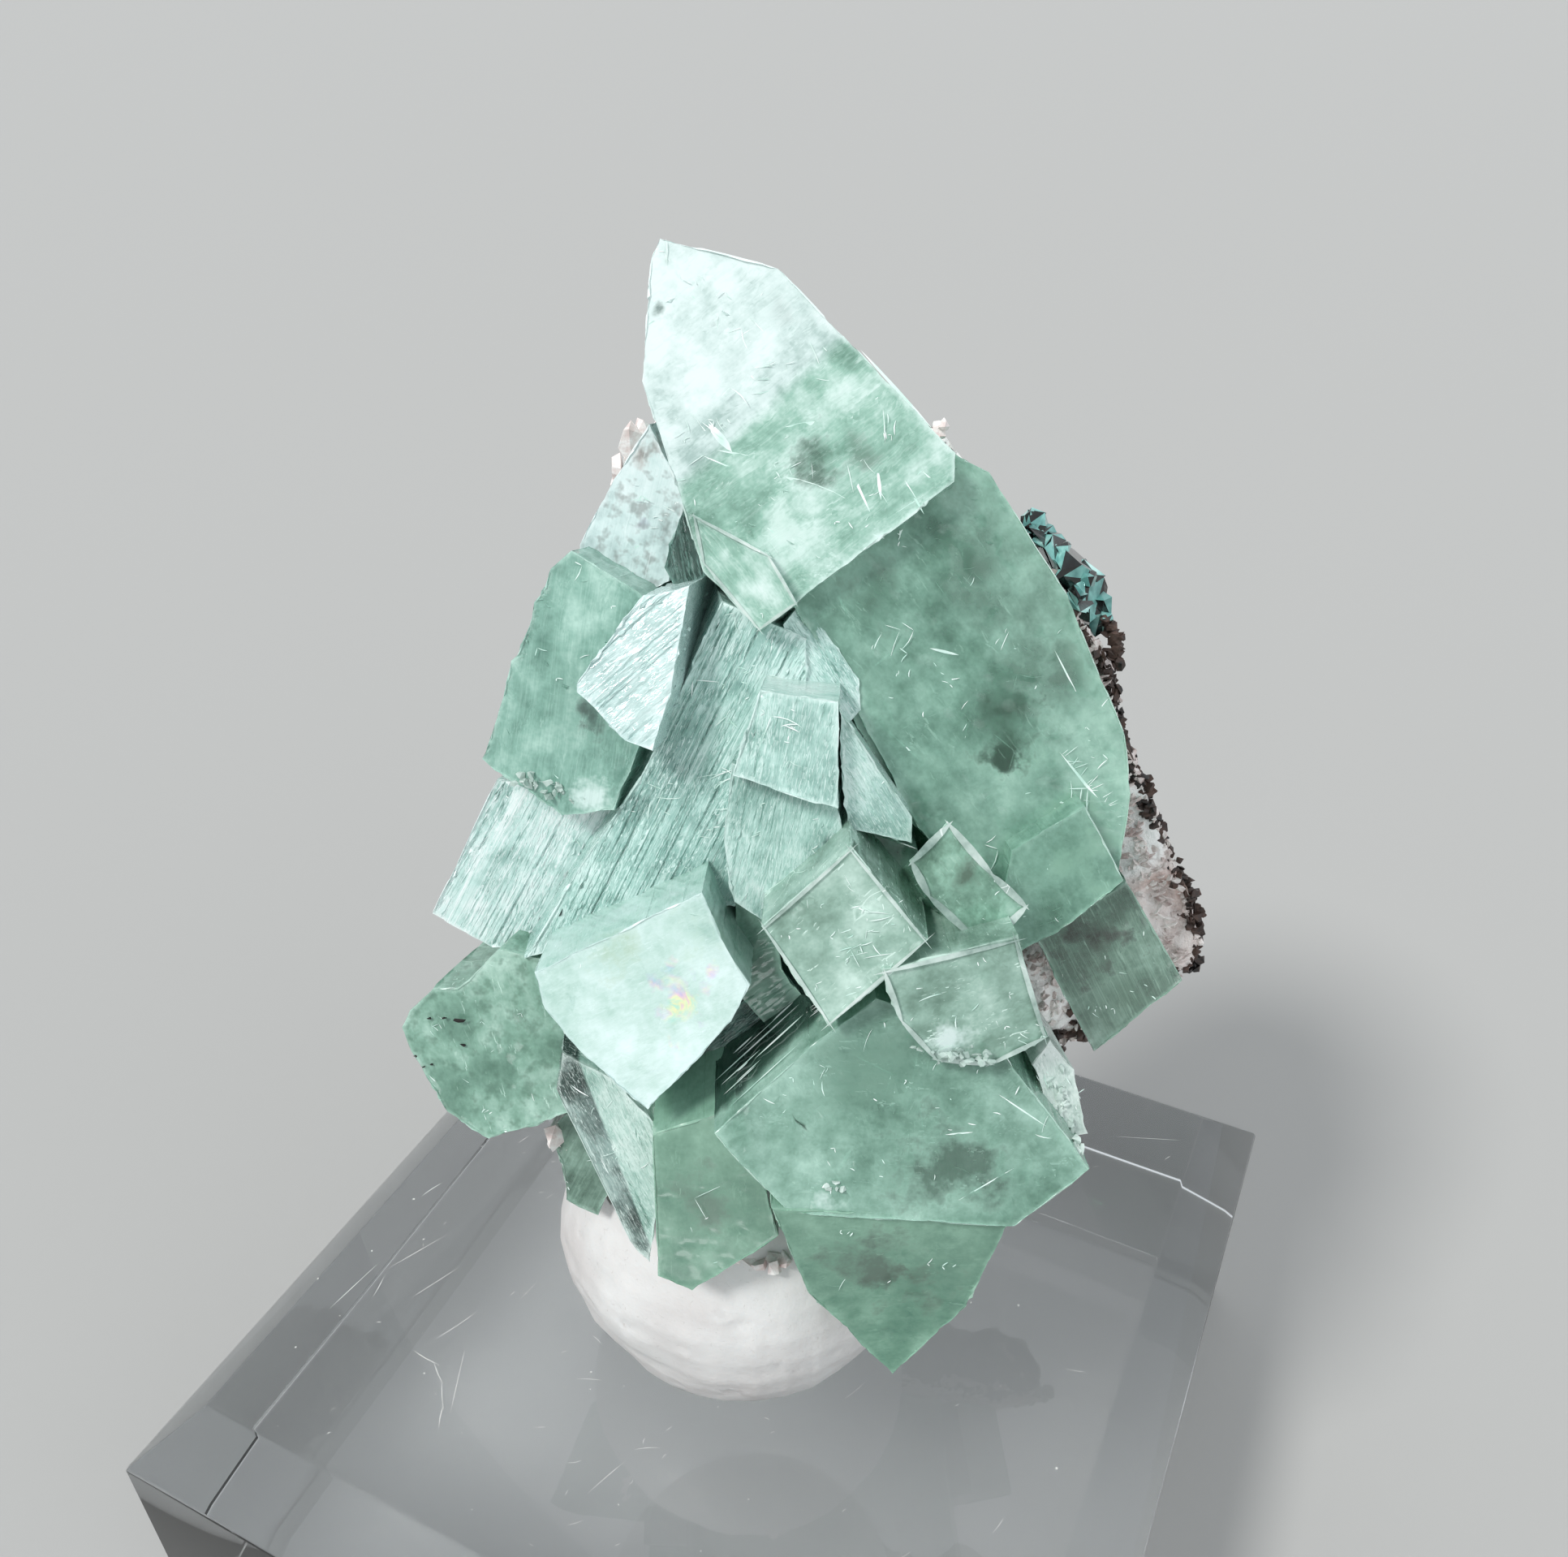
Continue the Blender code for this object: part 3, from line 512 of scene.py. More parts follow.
def plug(tree, value, socket):
    """Links a socket to the input, or sets the input's value."""
    if isinstance(value, bpy.types.NodeSocket):
        tree.links.new(value, socket)
    elif isinstance(value, tuple) and len(value) == 3 and socket.type == "RGBA":
        socket.default_value = (*value, 1)
    else:
        socket.default_value = value


def plug_all(tree, node, **inputs):
    """Plugs values or sockets into a node's inputs by name, _ for a space."""
    for key, value in inputs.items():
        plug(tree, value, node.inputs[key.replace("_", " ")])


def add_node(tree, kind, settings=None, **inputs):
    """Adds a node; settings are its properties."""
    node = tree.nodes.new("ShaderNode" + kind)
    for key, value in (settings or {}).items():
        setattr(node, key, value)
    plug_all(tree, node, **inputs)
    return node


def mix_color(tree, factor, first, second):
    node = add_node(tree, "Mix", {"data_type": "RGBA"}, Factor=factor)
    plug(tree, first, node.inputs[6])
    plug(tree, second, node.inputs[7])
    return node.outputs[2]


def math_node(tree, operation, first, second, clamp=False):
    node = add_node(tree, "Math", {"operation": operation, "use_clamp": clamp})
    plug(tree, first, node.inputs[0])
    plug(tree, second, node.inputs[1])
    return node.outputs[0]


def vector_math(tree, operation, *operands):
    node = add_node(tree, "VectorMath", {"operation": operation})
    for operand, socket in zip(operands, node.inputs):
        plug(tree, operand, socket)
    return node


def weighted(tree, *parts):
    """The sum of values times their weights."""
    total = None
    for value, weight in parts:
        term = math_node(tree, "MULTIPLY", value, weight)
        total = term if total is None else math_node(tree, "ADD", total, term)
    return total


def ramp(tree, factor, *stops):
    """A colour ramp through stops, each a position and a screen colour."""
    node = add_node(tree, "ValToRGB", None, Fac=factor)
    elements = node.color_ramp.elements
    while len(elements) < len(stops):
        elements.new(0.5)
    for element, (position, *color) in zip(elements, stops):
        element.position = position
        element.color = (*tone(*color), 1)
    return node.outputs["Color"]


def spread(tree, value, low, high, to_low=0.0, to_high=1.0):
    """Maps low..high to to_low..to_high, kept inside them."""
    node = add_node(
        tree, "MapRange", {"clamp": True}, Value=value, From_Min=low, From_Max=high, To_Min=to_low,
        To_Max=to_high,
    )
    return node.outputs["Result"]


def noise_value(tree, vector, scale, detail=3.0, roughness=0.5, distortion=0.0):
    node = add_node(
        tree, "TexNoise", None, Vector=vector, Scale=scale, Detail=detail, Roughness=roughness,
        Distortion=distortion,
    )
    return node.outputs["Fac"]


def stretched(tree, uv, along_scale, across_scale, turn=0):
    """A face's map scaled along and across its striations, and turned by an angle in degrees."""
    scale = (along_scale, across_scale, 1.0)
    turned = (0, 0, math.radians(turn))
    return add_node(tree, "Mapping", None, Vector=uv, Rotation=turned, Scale=scale).outputs["Vector"]


def pushed(tree, place, scale, detail, amount):
    """The place pushed about by noise, by up to an amount in metres."""
    push = add_node(tree, "TexNoise", None, Vector=place, Scale=scale, Detail=detail)
    return vector_math(tree, "MULTIPLY_ADD", push.outputs["Color"], (amount,) * 3, place).outputs[0]


def along(tree, place, direction, low, high):
    """0 to 1 as the place goes from low to high millimetres along one direction of the specimen's frame."""
    axis = FRAME.to_3x3() @ Vector(direction)
    start = FRAME.translation.dot(axis)
    reach = vector_math(tree, "DOT_PRODUCT", place, axis).outputs["Value"]
    return spread(tree, reach, (start + low) * MM, (start + high) * MM)


def near_point(tree, place, point, radius):
    """1 at a point in the specimen's frame, falling to 0 at the radius, in millimetres."""
    away = vector_math(tree, "DISTANCE", place, (FRAME @ Vector(point)) * MM).outputs["Value"]
    return spread(tree, away, 0, radius * MM, 1, 0)


def attribute(tree, name):
    return add_node(tree, "Attribute", {"attribute_name": name}).outputs["Fac"]


def start_material(name):
    """A new material, its tree and shader, and where each point is in the world and on its face."""
    made = bpy.data.materials.new(name)
    made.use_nodes = True
    tree = made.node_tree
    coordinates = add_node(tree, "TexCoord")
    return made, tree, tree.nodes["Principled BSDF"], coordinates.outputs["Object"], coordinates.outputs["UV"]


def set_bump(tree, shader, height, strength, distance):
    bump = add_node(tree, "Bump", None, Height=height, Strength=strength, Distance=distance)
    plug_all(tree, shader, Normal=bump.outputs["Normal"])


# Materials ------------------------------------------------------------------------------------------------


def crack_lines(tree, place, scale, width):
    """Thin wandering lines between the cells of a broken-up pattern, missing in places."""
    bent = pushed(tree, place, scale * 1.4, 1.0, 0.9 / scale)
    cells = add_node(tree, "TexVoronoi", {"feature": "DISTANCE_TO_EDGE"}, Vector=bent, Scale=scale)
    thin = spread(tree, cells.outputs["Distance"], 0, width, 1, 0)
    present = spread(tree, noise_value(tree, place, scale * 0.8, 2), 0.52, 0.60)
    return math_node(tree, "MULTIPLY", thin, present)


def broken_mask(tree, near, blotches, strength):
    """A soft place mask with an uneven, blotchy edge."""
    uneven = weighted(tree, (near, 1.0), (blotches, 2.4))
    present = math_node(tree, "MULTIPLY", spread(tree, uneven, 1.72, 2.2), spread(tree, near, 0.0, 0.2))
    return math_node(tree, "MULTIPLY", present, strength)


def add_zones(tree, name, place, mottled, cloud, color):
    """Lays the zones of one kind of crystal over its colour."""
    for direction, low, high, dark, light in ZONES.get(name, []):
        uneven = weighted(tree, (along(tree, place, direction, low, high), 1.0), (cloud, 0.6))
        zone_color = mix_color(tree, spread(tree, mottled, 0.43, 0.57), tone(*dark), tone(*light))
        color = mix_color(tree, spread(tree, uneven, 0.6, 0.95), color, zone_color)
    return color


def add_spots(tree, name, place, cloud, color):
    """Lays the spots of one kind of crystal over its colour, with loose outlines."""
    if name in SPOTS:
        half = (SPOT_PUSH * MM / 2,) * 3
        loose = vector_math(tree, "SUBTRACT", pushed(tree, place, 260, 2.0, SPOT_PUSH * MM), half).outputs[0]
        for spot_color, spot, radius, strength in SPOTS[name]:
            near = near_point(tree, loose, spot, radius * SPOT_REACH)
            color = mix_color(tree, broken_mask(tree, near, cloud, strength), color, tone(*spot_color))
    return color


def add_stripes(tree, shader, uv, look, color):
    """Lays dark and light striations over the colour, in low relief."""
    stripes = noise_value(tree, stretched(tree, uv, 1.4, 70.0), 1.0, 3, 0.65, 0.25)
    light = spread(tree, stripes, 0.5, 0.64, 0, 0.85 * look.stripe)
    dark = spread(tree, stripes, 0.46, 0.34, 0, 0.5 * look.stripe)
    color = mix_color(tree, dark, color, tone(*look.deep))
    color = mix_color(tree, light, color, tone(*look.pale))
    set_bump(tree, shader, stripes, 0.35 * look.stripe, 0.0003)
    return color


def white_flaws_and_edge_highlight(tree, place, uv, look, cloud):
    """How white each point is with fine straight flaws and cracks, and a painted highlight on its edges."""
    lines = stretched(tree, uv, 4.0, 34.0, look.turn)
    flaws = spread(tree, noise_value(tree, lines, 1.0, 2, 0.6, 0.2), 0.64, 0.71)
    if look.veil >= CRACKED_VEIL:
        flaws = math_node(tree, "MAXIMUM", flaws, crack_lines(tree, place, 300, 0.018))
    flaws = math_node(tree, "MULTIPLY", flaws, look.veil)
    # The pale edges are a painted highlight, where the bevels would catch the light.
    edge = weighted(tree, (attribute(tree, "rim"), 1.0), (cloud, 1.0))
    painted_edge_highlight = math_node(tree, "MULTIPLY", spread(tree, edge, 0.95, 1.5), 0.6)
    return math_node(tree, "MAXIMUM", flaws, painted_edge_highlight, True)


def add_iridescence(tree, place, color):
    """Pastel rainbow patches on the pearly face where light is split at a cleavage."""
    hues = noise_value(tree, place, 560, 3, 0.6, 1.5)
    rainbow = ramp(
        tree, hues, (0.34, 140, 190, 235), (0.44, 196, 160, 224), (0.50, 236, 176, 204),
        (0.57, 236, 228, 150), (0.66, 150, 220, 200),
    )
    near = near_point(tree, place, (-2.9, 18.2, 7.0), 3.4)
    mask = broken_mask(tree, near, noise_value(tree, place, 700, 3), 0.65)
    return mix_color(tree, mask, color, rainbow)


def crystal_material(name, look):
    """A cloudy, see-through crystal. Tint, haze and flaws vary through it; edges get a painted highlight."""
    made, tree, shader, place, uv = start_material("crystal_" + name)
    broad = noise_value(tree, place, 120, 3, 0.55)
    cloud = noise_value(tree, place, 450, 4, 0.68)
    streak = noise_value(tree, stretched(tree, uv, 5.0, 13.0), 1.0, 3, 0.6)
    mottled = weighted(tree, (broad, 0.46), (cloud, 0.40), (streak, 0.14))
    color = ramp(tree, mottled, (0.37, *look.deep), (0.49, *look.middle), (0.64, *look.pale))
    color = add_zones(tree, name, place, mottled, cloud, color)
    color = add_spots(tree, name, place, cloud, color)
    if look.stripe > PLAIN_STRIPE:
        color = add_stripes(tree, shader, uv, look, color)
    if name in SPECKLES:
        speckled = spread(tree, noise_value(tree, place, 1500, 2, 0.6), 0.50, 0.68, 0, 0.5)
        color = mix_color(tree, speckled, color, tone(*SPECKLES[name]))
    white = white_flaws_and_edge_highlight(tree, place, uv, look, cloud)
    color = mix_color(tree, white, color, tone(*look.pale))
    if name == "pearly":
        color = add_iridescence(tree, place, color)
    haze = math_node(tree, "MAXIMUM", white, spread(tree, color, 0.30, 0.75))
    rough = weighted(tree, (cloud, 1.0), (white, 1.0))
    plug_all(
        tree, shader, Base_Color=color, IOR=CRYSTAL_IOR,
        Transmission_Weight=spread(tree, haze, 0, 1, look.clear, look.clear * HAZY_SHARE),
        Roughness=spread(tree, rough, 0.35, 1.3, 0.04, 0.36),
    )
    absorb = add_node(tree, "VolumeAbsorption", None, Color=tone(*look.absorb), Density=look.density)
    plug_all(tree, tree.nodes["Material Output"], Volume=absorb.outputs["Volume"])
    return made


def flaw_material():
    """White inner cracks and cleavage glints: thin, bright and a little see-through."""
    made, tree, shader, place, _ = start_material("inner_flaw")
    color = ramp(tree, noise_value(tree, place, 700, 2), (0.35, 190, 224, 212), (0.65, 244, 250, 248))
    rough = spread(tree, noise_value(tree, place, 2000, 2), 0.3, 0.7, 0.1, 0.4)
    plug_all(tree, shader, Base_Color=color, IOR=1.3, Roughness=rough)
    return made


def veil_material():
    """Milky sheets inside the crystals."""
    made, tree, shader, place, _ = start_material("milky_veil")
    cloud = noise_value(tree, place, 800, 4, 0.7)
    color = ramp(tree, cloud, (0.35, 170, 208, 194), (0.65, 226, 242, 236))
    clear = spread(tree, cloud, 0.4, 0.6, 0.95, 0.45)
    plug_all(tree, shader, Base_Color=color, IOR=1.15, Transmission_Weight=clear, Roughness=0.35)
    return made


def rock_material():
    """White and pink feathery rock with a brown-black crust at its back and rim."""
    made, tree, shader, place, _ = start_material("host_rock")
    broad = noise_value(tree, place, 160, 5, 0.6, 1.0)
    fine = noise_value(tree, place, 1100, 4, 0.65)
    pale = ramp(
        tree, broad, (0.30, 198, 174, 166), (0.40, 232, 222, 218), (0.52, 246, 245, 243),
        (0.72, 226, 232, 228),
    )
    crust = ramp(tree, fine, (0.36, 26, 22, 20), (0.52, 72, 54, 47), (0.68, 136, 112, 102))
    crust = mix_color(tree, spread(tree, broad, 0.5, 0.66, 0, 0.7), crust, tone(118, 104, 98))
    edge = math_node(tree, "ADD", attribute(tree, "rim"), spread(tree, broad, 0.3, 0.7, -0.45, 0.45))
    color = mix_color(tree, spread(tree, edge, 0.62, 0.76), pale, crust)
    cracks = math_node(tree, "MULTIPLY", crack_lines(tree, place, 300, 0.05), 0.35)
    color = mix_color(tree, cracks, color, tone(120, 98, 92))
    plug_all(tree, shader, Base_Color=color, Roughness=spread(tree, fine, 0.3, 0.7, 0.40, 0.85))
    set_bump(tree, shader, math_node(tree, "ADD", broad, fine), 0.6, 0.0006)
    return made


def crust_material(name, dark, light):
    """Dull grains of rock or crust, between two screen colours."""
    made, tree, shader, place, _ = start_material(name)
    fine = noise_value(tree, place, 900, 4, 0.7)
    color = ramp(tree, fine, (0.38, *dark), (0.62, *light))
    plug_all(tree, shader, Base_Color=color, Roughness=spread(tree, fine, 0.35, 0.65, 0.3, 0.8))
    set_bump(tree, shader, fine, 0.5, 0.0002)
    return made


def dark_crystal_material(name, dark, middle, light):
    """Shiny metallic faces between three screen colours."""
    made, tree, shader, place, _ = start_material(name)
    tint = noise_value(tree, place, 700, 3)
    color = ramp(tree, tint, (0.38, *dark), (0.52, *middle), (0.66, *light))
    plug_all(
        tree, shader, Base_Color=color, Metallic=0.1, Roughness=spread(tree, tint, 0.3, 0.7, 0.08, 0.28),
        Coat_Weight=0.6, Coat_Roughness=0.08,
    )
    set_bump(tree, shader, noise_value(tree, place, 1500, 3), 0.25, 0.0002)
    return made


def putty_material():
    """Soft white putty: matte, a little translucent, with faint finger ridges and small grey marks."""
    made, tree, shader, place, _ = start_material("white_putty")
    broad = noise_value(tree, place, 120, 4)
    marks = spread(tree, noise_value(tree, place, 1100, 3, 0.7, 3.0), 0.63, 0.70, 0, 0.6)
    color = mix_color(tree, spread(tree, broad, 0.35, 0.6), PUTTY_SHADE, PUTTY_WHITE)
    plug_all(
        tree, shader, Base_Color=mix_color(tree, marks, color, PUTTY_MARK),
        Roughness=spread(tree, broad, 0.3, 0.7, 0.42, 0.62),
        Subsurface_Weight=0.25, Subsurface_Radius=(1.0, 0.8, 0.7), Subsurface_Scale=0.0015,
    )
    ridges = add_node(tree, "TexWave", None, Vector=place, Scale=420.0, Distortion=2.5, Detail=2.0)
    fingered = math_node(tree, "MULTIPLY", near_point(tree, place, (6.0, -14.0, 2.0), 9.0), 0.35)
    ridged = math_node(tree, "MULTIPLY", ridges.outputs["Fac"], fingered)
    height = math_node(tree, "ADD", ridged, noise_value(tree, place, 420, 4, 0.6))
    set_bump(tree, shader, height, 0.35, 0.0004)
    return made


def acrylic_material():
    """Clear polished acrylic with fine scratches."""
    made, tree, shader, place, _ = start_material("clear_acrylic")
    scratches = noise_value(tree, place, 160, 4, 0.7, 3.0)
    plug_all(
        tree, shader, Base_Color=(0.96, 0.98, 0.99), Transmission_Weight=1.0, IOR=ACRYLIC_IOR,
        Roughness=spread(tree, scratches, 0.55, 0.75, 0.01, 0.05),
    )
    return made


def floor_material():
    made, tree, shader, _, _ = start_material("pale_floor")
    plug_all(tree, shader, Base_Color=(0.40, 0.40, 0.39), Roughness=0.9)
    return made


# Meshes ---------------------------------------------------------------------------------------------------


def add_piece(name, bm, made, slot, node, sharp_angle=SHARP_ANGLE, in_specimen=True):
    """Makes the piece from a mesh in millimetres, in the specimen's frame or else the world's. It rides
    on the one body and is shown in place of the CAD node."""
    if in_specimen:
        bm.transform(FRAME)
    bmesh.ops.recalc_face_normals(bm, faces=bm.faces)
    bmesh.ops.scale(bm, vec=(MM, MM, MM), verts=bm.verts)
    mesh = bpy.data.meshes.new(name)
    bm.to_mesh(mesh)
    bm.free()
    mesh.materials.append(made)
    mesh.shade_smooth()
    mesh.set_sharp_from_angle(angle=math.radians(sharp_angle))
    obj = bpy.data.objects.new(name, mesh)
    bpy.context.scene.collection.objects.link(obj)
    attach(obj, "root")
    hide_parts(node)
    return obj


def refine(bm, longest, fine_above=-math.inf, longest_below=None):
    """Splits long edges, at most SPLIT_ROUNDS times, with every face a triangle. Edges that lie lower than
    fine_above may be as long as longest_below."""
    for _ in range(SPLIT_ROUNDS):
        bmesh.ops.triangulate(bm, faces=[face for face in bm.faces if len(face.verts) > 3])
        long_edges = []
        for edge in bm.edges:
            low = max(vert.co.z for vert in edge.verts) < fine_above
            if edge.calc_length() > (longest_below if low else longest):
                long_edges.append(edge)
        if not long_edges:
            break
        bmesh.ops.subdivide_edges(bm, edges=long_edges, cuts=1)
    bmesh.ops.triangulate(bm, faces=[face for face in bm.faces if len(face.verts) > 3])
    bmesh.ops.recalc_face_normals(bm, faces=bm.faces)


def soften(bm, edges, width, profile):
    bmesh.ops.bevel(
        bm, geom=edges, offset=width, segments=2, profile=profile, affect="EDGES", clamp_overlap=True
    )


def displace(bm, move_of):
    """Moves each point by what move_of gives for it, once all the moves are known."""
    bm.normal_update()
    moves = [move_of(vert) for vert in bm.verts]
    for vert, move in zip(bm.verts, moves):
        vert.co += move


def add_block(bm, near, far):
    """A closed block between two outlines of points. Returns its near face."""
    near_face = bm.faces.new(near)
    bm.faces.new(reversed(far))
    for index, vert in enumerate(near):
        follow = (index + 1) % len(near)
        bm.faces.new((vert, far[index], far[follow], near[follow]))
    return near_face


def ragged_outline(spec, rng):
    """The outline with small nicks cut into its sides, every millimetre or so."""
    made = []
    for corner, follow in spec.sides():
        start = Vector(corner)
        end = Vector(follow)
        made.append(start)
        steps = int((end - start).length / NICK_SPACING)
        for step in range(1, steps):
            point = start.lerp(end, (step + rng.uniform(-0.3, 0.3)) / steps)
            inward = (spec.middle - point).normalized()
            made.append(point + inward * rng.uniform(0, spec.ragged))
    return made


def crystal_mesh(spec, rng):
    """The block with nicked sides and worn edges, in the specimen's frame."""
    end = spec.front - spec.depth
    bm = bmesh.new()
    near = []
    far = []
    for corner in ragged_outline(spec, rng):
        out = spec.front_at(*corner)
        near.append(bm.verts.new((*corner, out)))
        far.append(bm.verts.new((*(corner + spec.slant * (out - end)), end)))
    soften(bm, list(add_block(bm, near, far).edges), EDGE_WEAR, 0.6)
    return bm


def stripe_cuts(bm, spec, rng):
    """Cuts the block along many planes that follow its striations. Returns their side and places along it."""
    side = spec.axis.cross(Vector((0, 0, 1))).normalized()
    reach = [side.dot(vert.co) for vert in bm.verts]
    places = []
    at = min(reach) + rng.uniform(*STRIPE_PITCH)
    while at < max(reach) - STRIPE_PITCH[0]:
        everything = bm.verts[:] + bm.edges[:] + bm.faces[:]
        bmesh.ops.bisect_plane(bm, geom=everything, plane_co=side * at, plane_no=side, dist=CUT_MERGE)
        places.append(at)
        at += rng.uniform(*STRIPE_PITCH)
    return side, places


def lay_stripes(bm, spec, side, places, rng):
    """Moves each striation's line in by its own amount, which changes slowly along the line."""
    depths = [rng.choice(STRIPE_DEPTHS) for _ in places]
    strength = LOOKS[spec.look].stripe

    def move_of(vert):
        at = side.dot(vert.co)
        index = min(bisect.bisect_left(places, at - CUT_SLACK), len(places) - 1)
        on_line = abs(places[index] - at) < CUT_REACH
        along_face = 1 - abs(vert.normal.dot(spec.axis))
        fade = 0.6 + noise.noise(Vector((vert.co.dot(spec.axis) * 0.35, index * 1.7, 5.0)))
        return -vert.normal * (depths[index] * strength * along_face * fade if on_line else 0.0)

    displace(bm, move_of)


def roughen(bm, spec, seed):
    """Growth ledges, waviness, fine striations and small dents, as real relief, inward only."""
    striate = 0.0 if spec.striated else LOOKS[spec.look].stripe
    shift = Vector((seed * 3.1, seed * 1.7, seed * 0.9))

    def move_of(vert):
        place = vert.co + shift
        side = vert.normal.cross(spec.axis)
        prism = min(1.0, side.length)
        side = side.normalized() if side.length > 0.1 else Vector((1, 0, 0))
        stripe = noise.noise(Vector((place.dot(side) * 1.5, place.dot(spec.axis) * 0.06, seed)))
        wave = noise.noise(place * 0.28)
        ledge = math.floor(noise.noise(place * 0.19) * LEDGE_LEVELS) / LEDGE_LEVELS
        dent = max(0.0, noise.noise(place * 1.2) - 0.32)
        height = WAVE_HEIGHT * wave + LEDGE_HEIGHT * ledge - DENT_DEPTH * dent
        height += (PLAIN_RELIEF + STRIPE_RELIEF * striate) * prism * stripe
        return vert.normal * min(0.0, height - RELIEF_SINK)

    displace(bm, move_of)


def mark_rims(bm, spec):
    """Gives each point how near it is to an edge of its crystal, 1 on the edge, as the float layer "rim"."""
    layer = bm.verts.layers.float.new("rim")
    corners = [Vector(corner) for corner in spec.corners]
    sides = list(zip(corners, corners[1:] + corners[:1]))
    for vert in bm.verts:
        below = spec.front_at(vert.co.x, vert.co.y) - vert.co.z
        place = Vector((vert.co.x, vert.co.y)) - spec.slant * below
        to_side = min(distance_to_line(place, start, end) for start, end in sides)
        to_corner = min((place - corner).length for corner in corners)
        away = min(max(to_side, abs(below)), to_corner + 0.3)
        vert[layer] = max(0.0, 1 - away / RIM_WIDTH)


def distance_to_line(point, start, end):
    along_line = end - start
    share = max(0.0, min(1.0, (point - start).dot(along_line) / along_line.length_squared))
    return (point - start - along_line * share).length


def lay_uv(bm, spec):
    """A UV map in centimetres whose U runs along the striations on every face."""
    layer = bm.loops.layers.uv.new("axes")
    steps = [Vector(end) - Vector(start) for start, end in spec.sides()]
    edge = max(steps, key=lambda step: step.length).to_3d().normalized()
    for face in bm.faces:
        first = spec.axis - face.normal * spec.axis.dot(face.normal)
        if first.length < 0.5:
            first = edge - face.normal * edge.dot(face.normal)
        first.normalize()
        second = face.normal.cross(first)
        for loop in face.loops:
            loop[layer].uv = (loop.vert.co.dot(first) * 0.1, loop.vert.co.dot(second) * 0.1)


def build_crystals(materials):
    for number, spec in enumerate(CRYSTALS + CREVICE_CRYSTALS):
        rng = random.Random(number * 7 + 1)
        bm = crystal_mesh(spec, rng)
        if spec.striated:
            side, places = stripe_cuts(bm, spec, rng)
        refine(bm, FACE_STEP, spec.front - FINE_DEPTH, SIDE_STEP)
        mark_rims(bm, spec)
        if spec.striated:
            lay_stripes(bm, spec, side, places, rng)
        roughen(bm, spec, number + 1)
        bm.normal_update()
        lay_uv(bm, spec)
        add_piece("crystal_" + spec.name, bm, materials[spec.look], *GREEN)


# Flaws, chips and grains ----------------------------------------------------------------------------------


def add_sliver(bm, start, end, width, thickness, bend=0.0):
    """A thin closed blade from start to end that bulges by bend at its middle."""
    run = end - start
    ahead = run.normalized()
    side = ahead.cross(Vector((0, 0, 1)))
    side = side.normalized() if side.length > 0.1 else Vector((1, 0, 0))
    lift = side.cross(ahead)
    first = bm.verts.new(start)
    last = bm.verts.new(end)
    rings = []
    for share, swell in SLIVER_RINGS:
        middle = start + run * share + side * bend * math.sin(math.pi * share)
        half = side * width * swell / 2
        ring = (middle + half, middle - half, middle - lift * thickness)
        rings.append([bm.verts.new(point) for point in ring])
    for index in range(3):
        follow = (index + 1) % 3
        bm.faces.new((first, rings[0][index], rings[0][follow]))
        bm.faces.new((last, rings[-1][follow], rings[-1][index]))
        for near, far in zip(rings, rings[1:]):
            bm.faces.new((near[index], far[index], far[follow], near[follow]))


def add_sheet(bm, outline, thickness):
    """A flat closed sheet with the given outline."""
    normal = (outline[1] - outline[0]).cross(outline[2] - outline[0]).normalized()
    front = [bm.verts.new(point) for point in outline]
    back = [bm.verts.new(point - normal * thickness) for point in outline]
    add_block(bm, front, back)


def add_crumb(bm, centre, sizes, rng):
    """A small angular lump: the hull of a few points on a stretched ball."""
    verts = []
    for _ in range(CRUMB_POINTS):
        height = rng.uniform(-1, 1)
        angle = rng.uniform(0, 2 * math.pi)
        ring = math.sqrt(1 - height * height)
        ball = (ring * math.cos(angle), ring * math.sin(angle), height)
        place = Vector([value * size for value, size in zip(ball, sizes)])
        verts.append(bm.verts.new(Vector(centre) + place))
    made = bmesh.ops.convex_hull(bm, input=verts)
    unused = made["geom_interior"] + made["geom_unused"]
    spare = [item for item in unused if isinstance(item, bmesh.types.BMVert)]
    bmesh.ops.delete(bm, geom=spare, context="VERTS")


def sizes_of(size, smallest, rng):
    """Three sizes, each from a smallest share of the given size up to all of it."""
    return [size * rng.uniform(smallest, 1.0) for _ in range(3)]


def add_glint(bm, spec, start, angle, length, width, bend, rng):
    """One small crack along an angle on the face, sometimes with a second at a right angle to it."""
    run = Vector((math.cos(angle), math.sin(angle), rng.uniform(-0.15, 0.05)))
    end = start + run * length
    if spec.holds(end):
        add_sliver(bm, start, end, width, GLINT_THICKNESS, bend)
        turned = end + Vector((-run.y, run.x, run.z)) * length * rng.uniform(0.4, 1.0)
        if rng.random() < RIGHT_ANGLE_SHARE and spec.holds(turned):
            add_sliver(bm, end, turned, width, GLINT_THICKNESS)


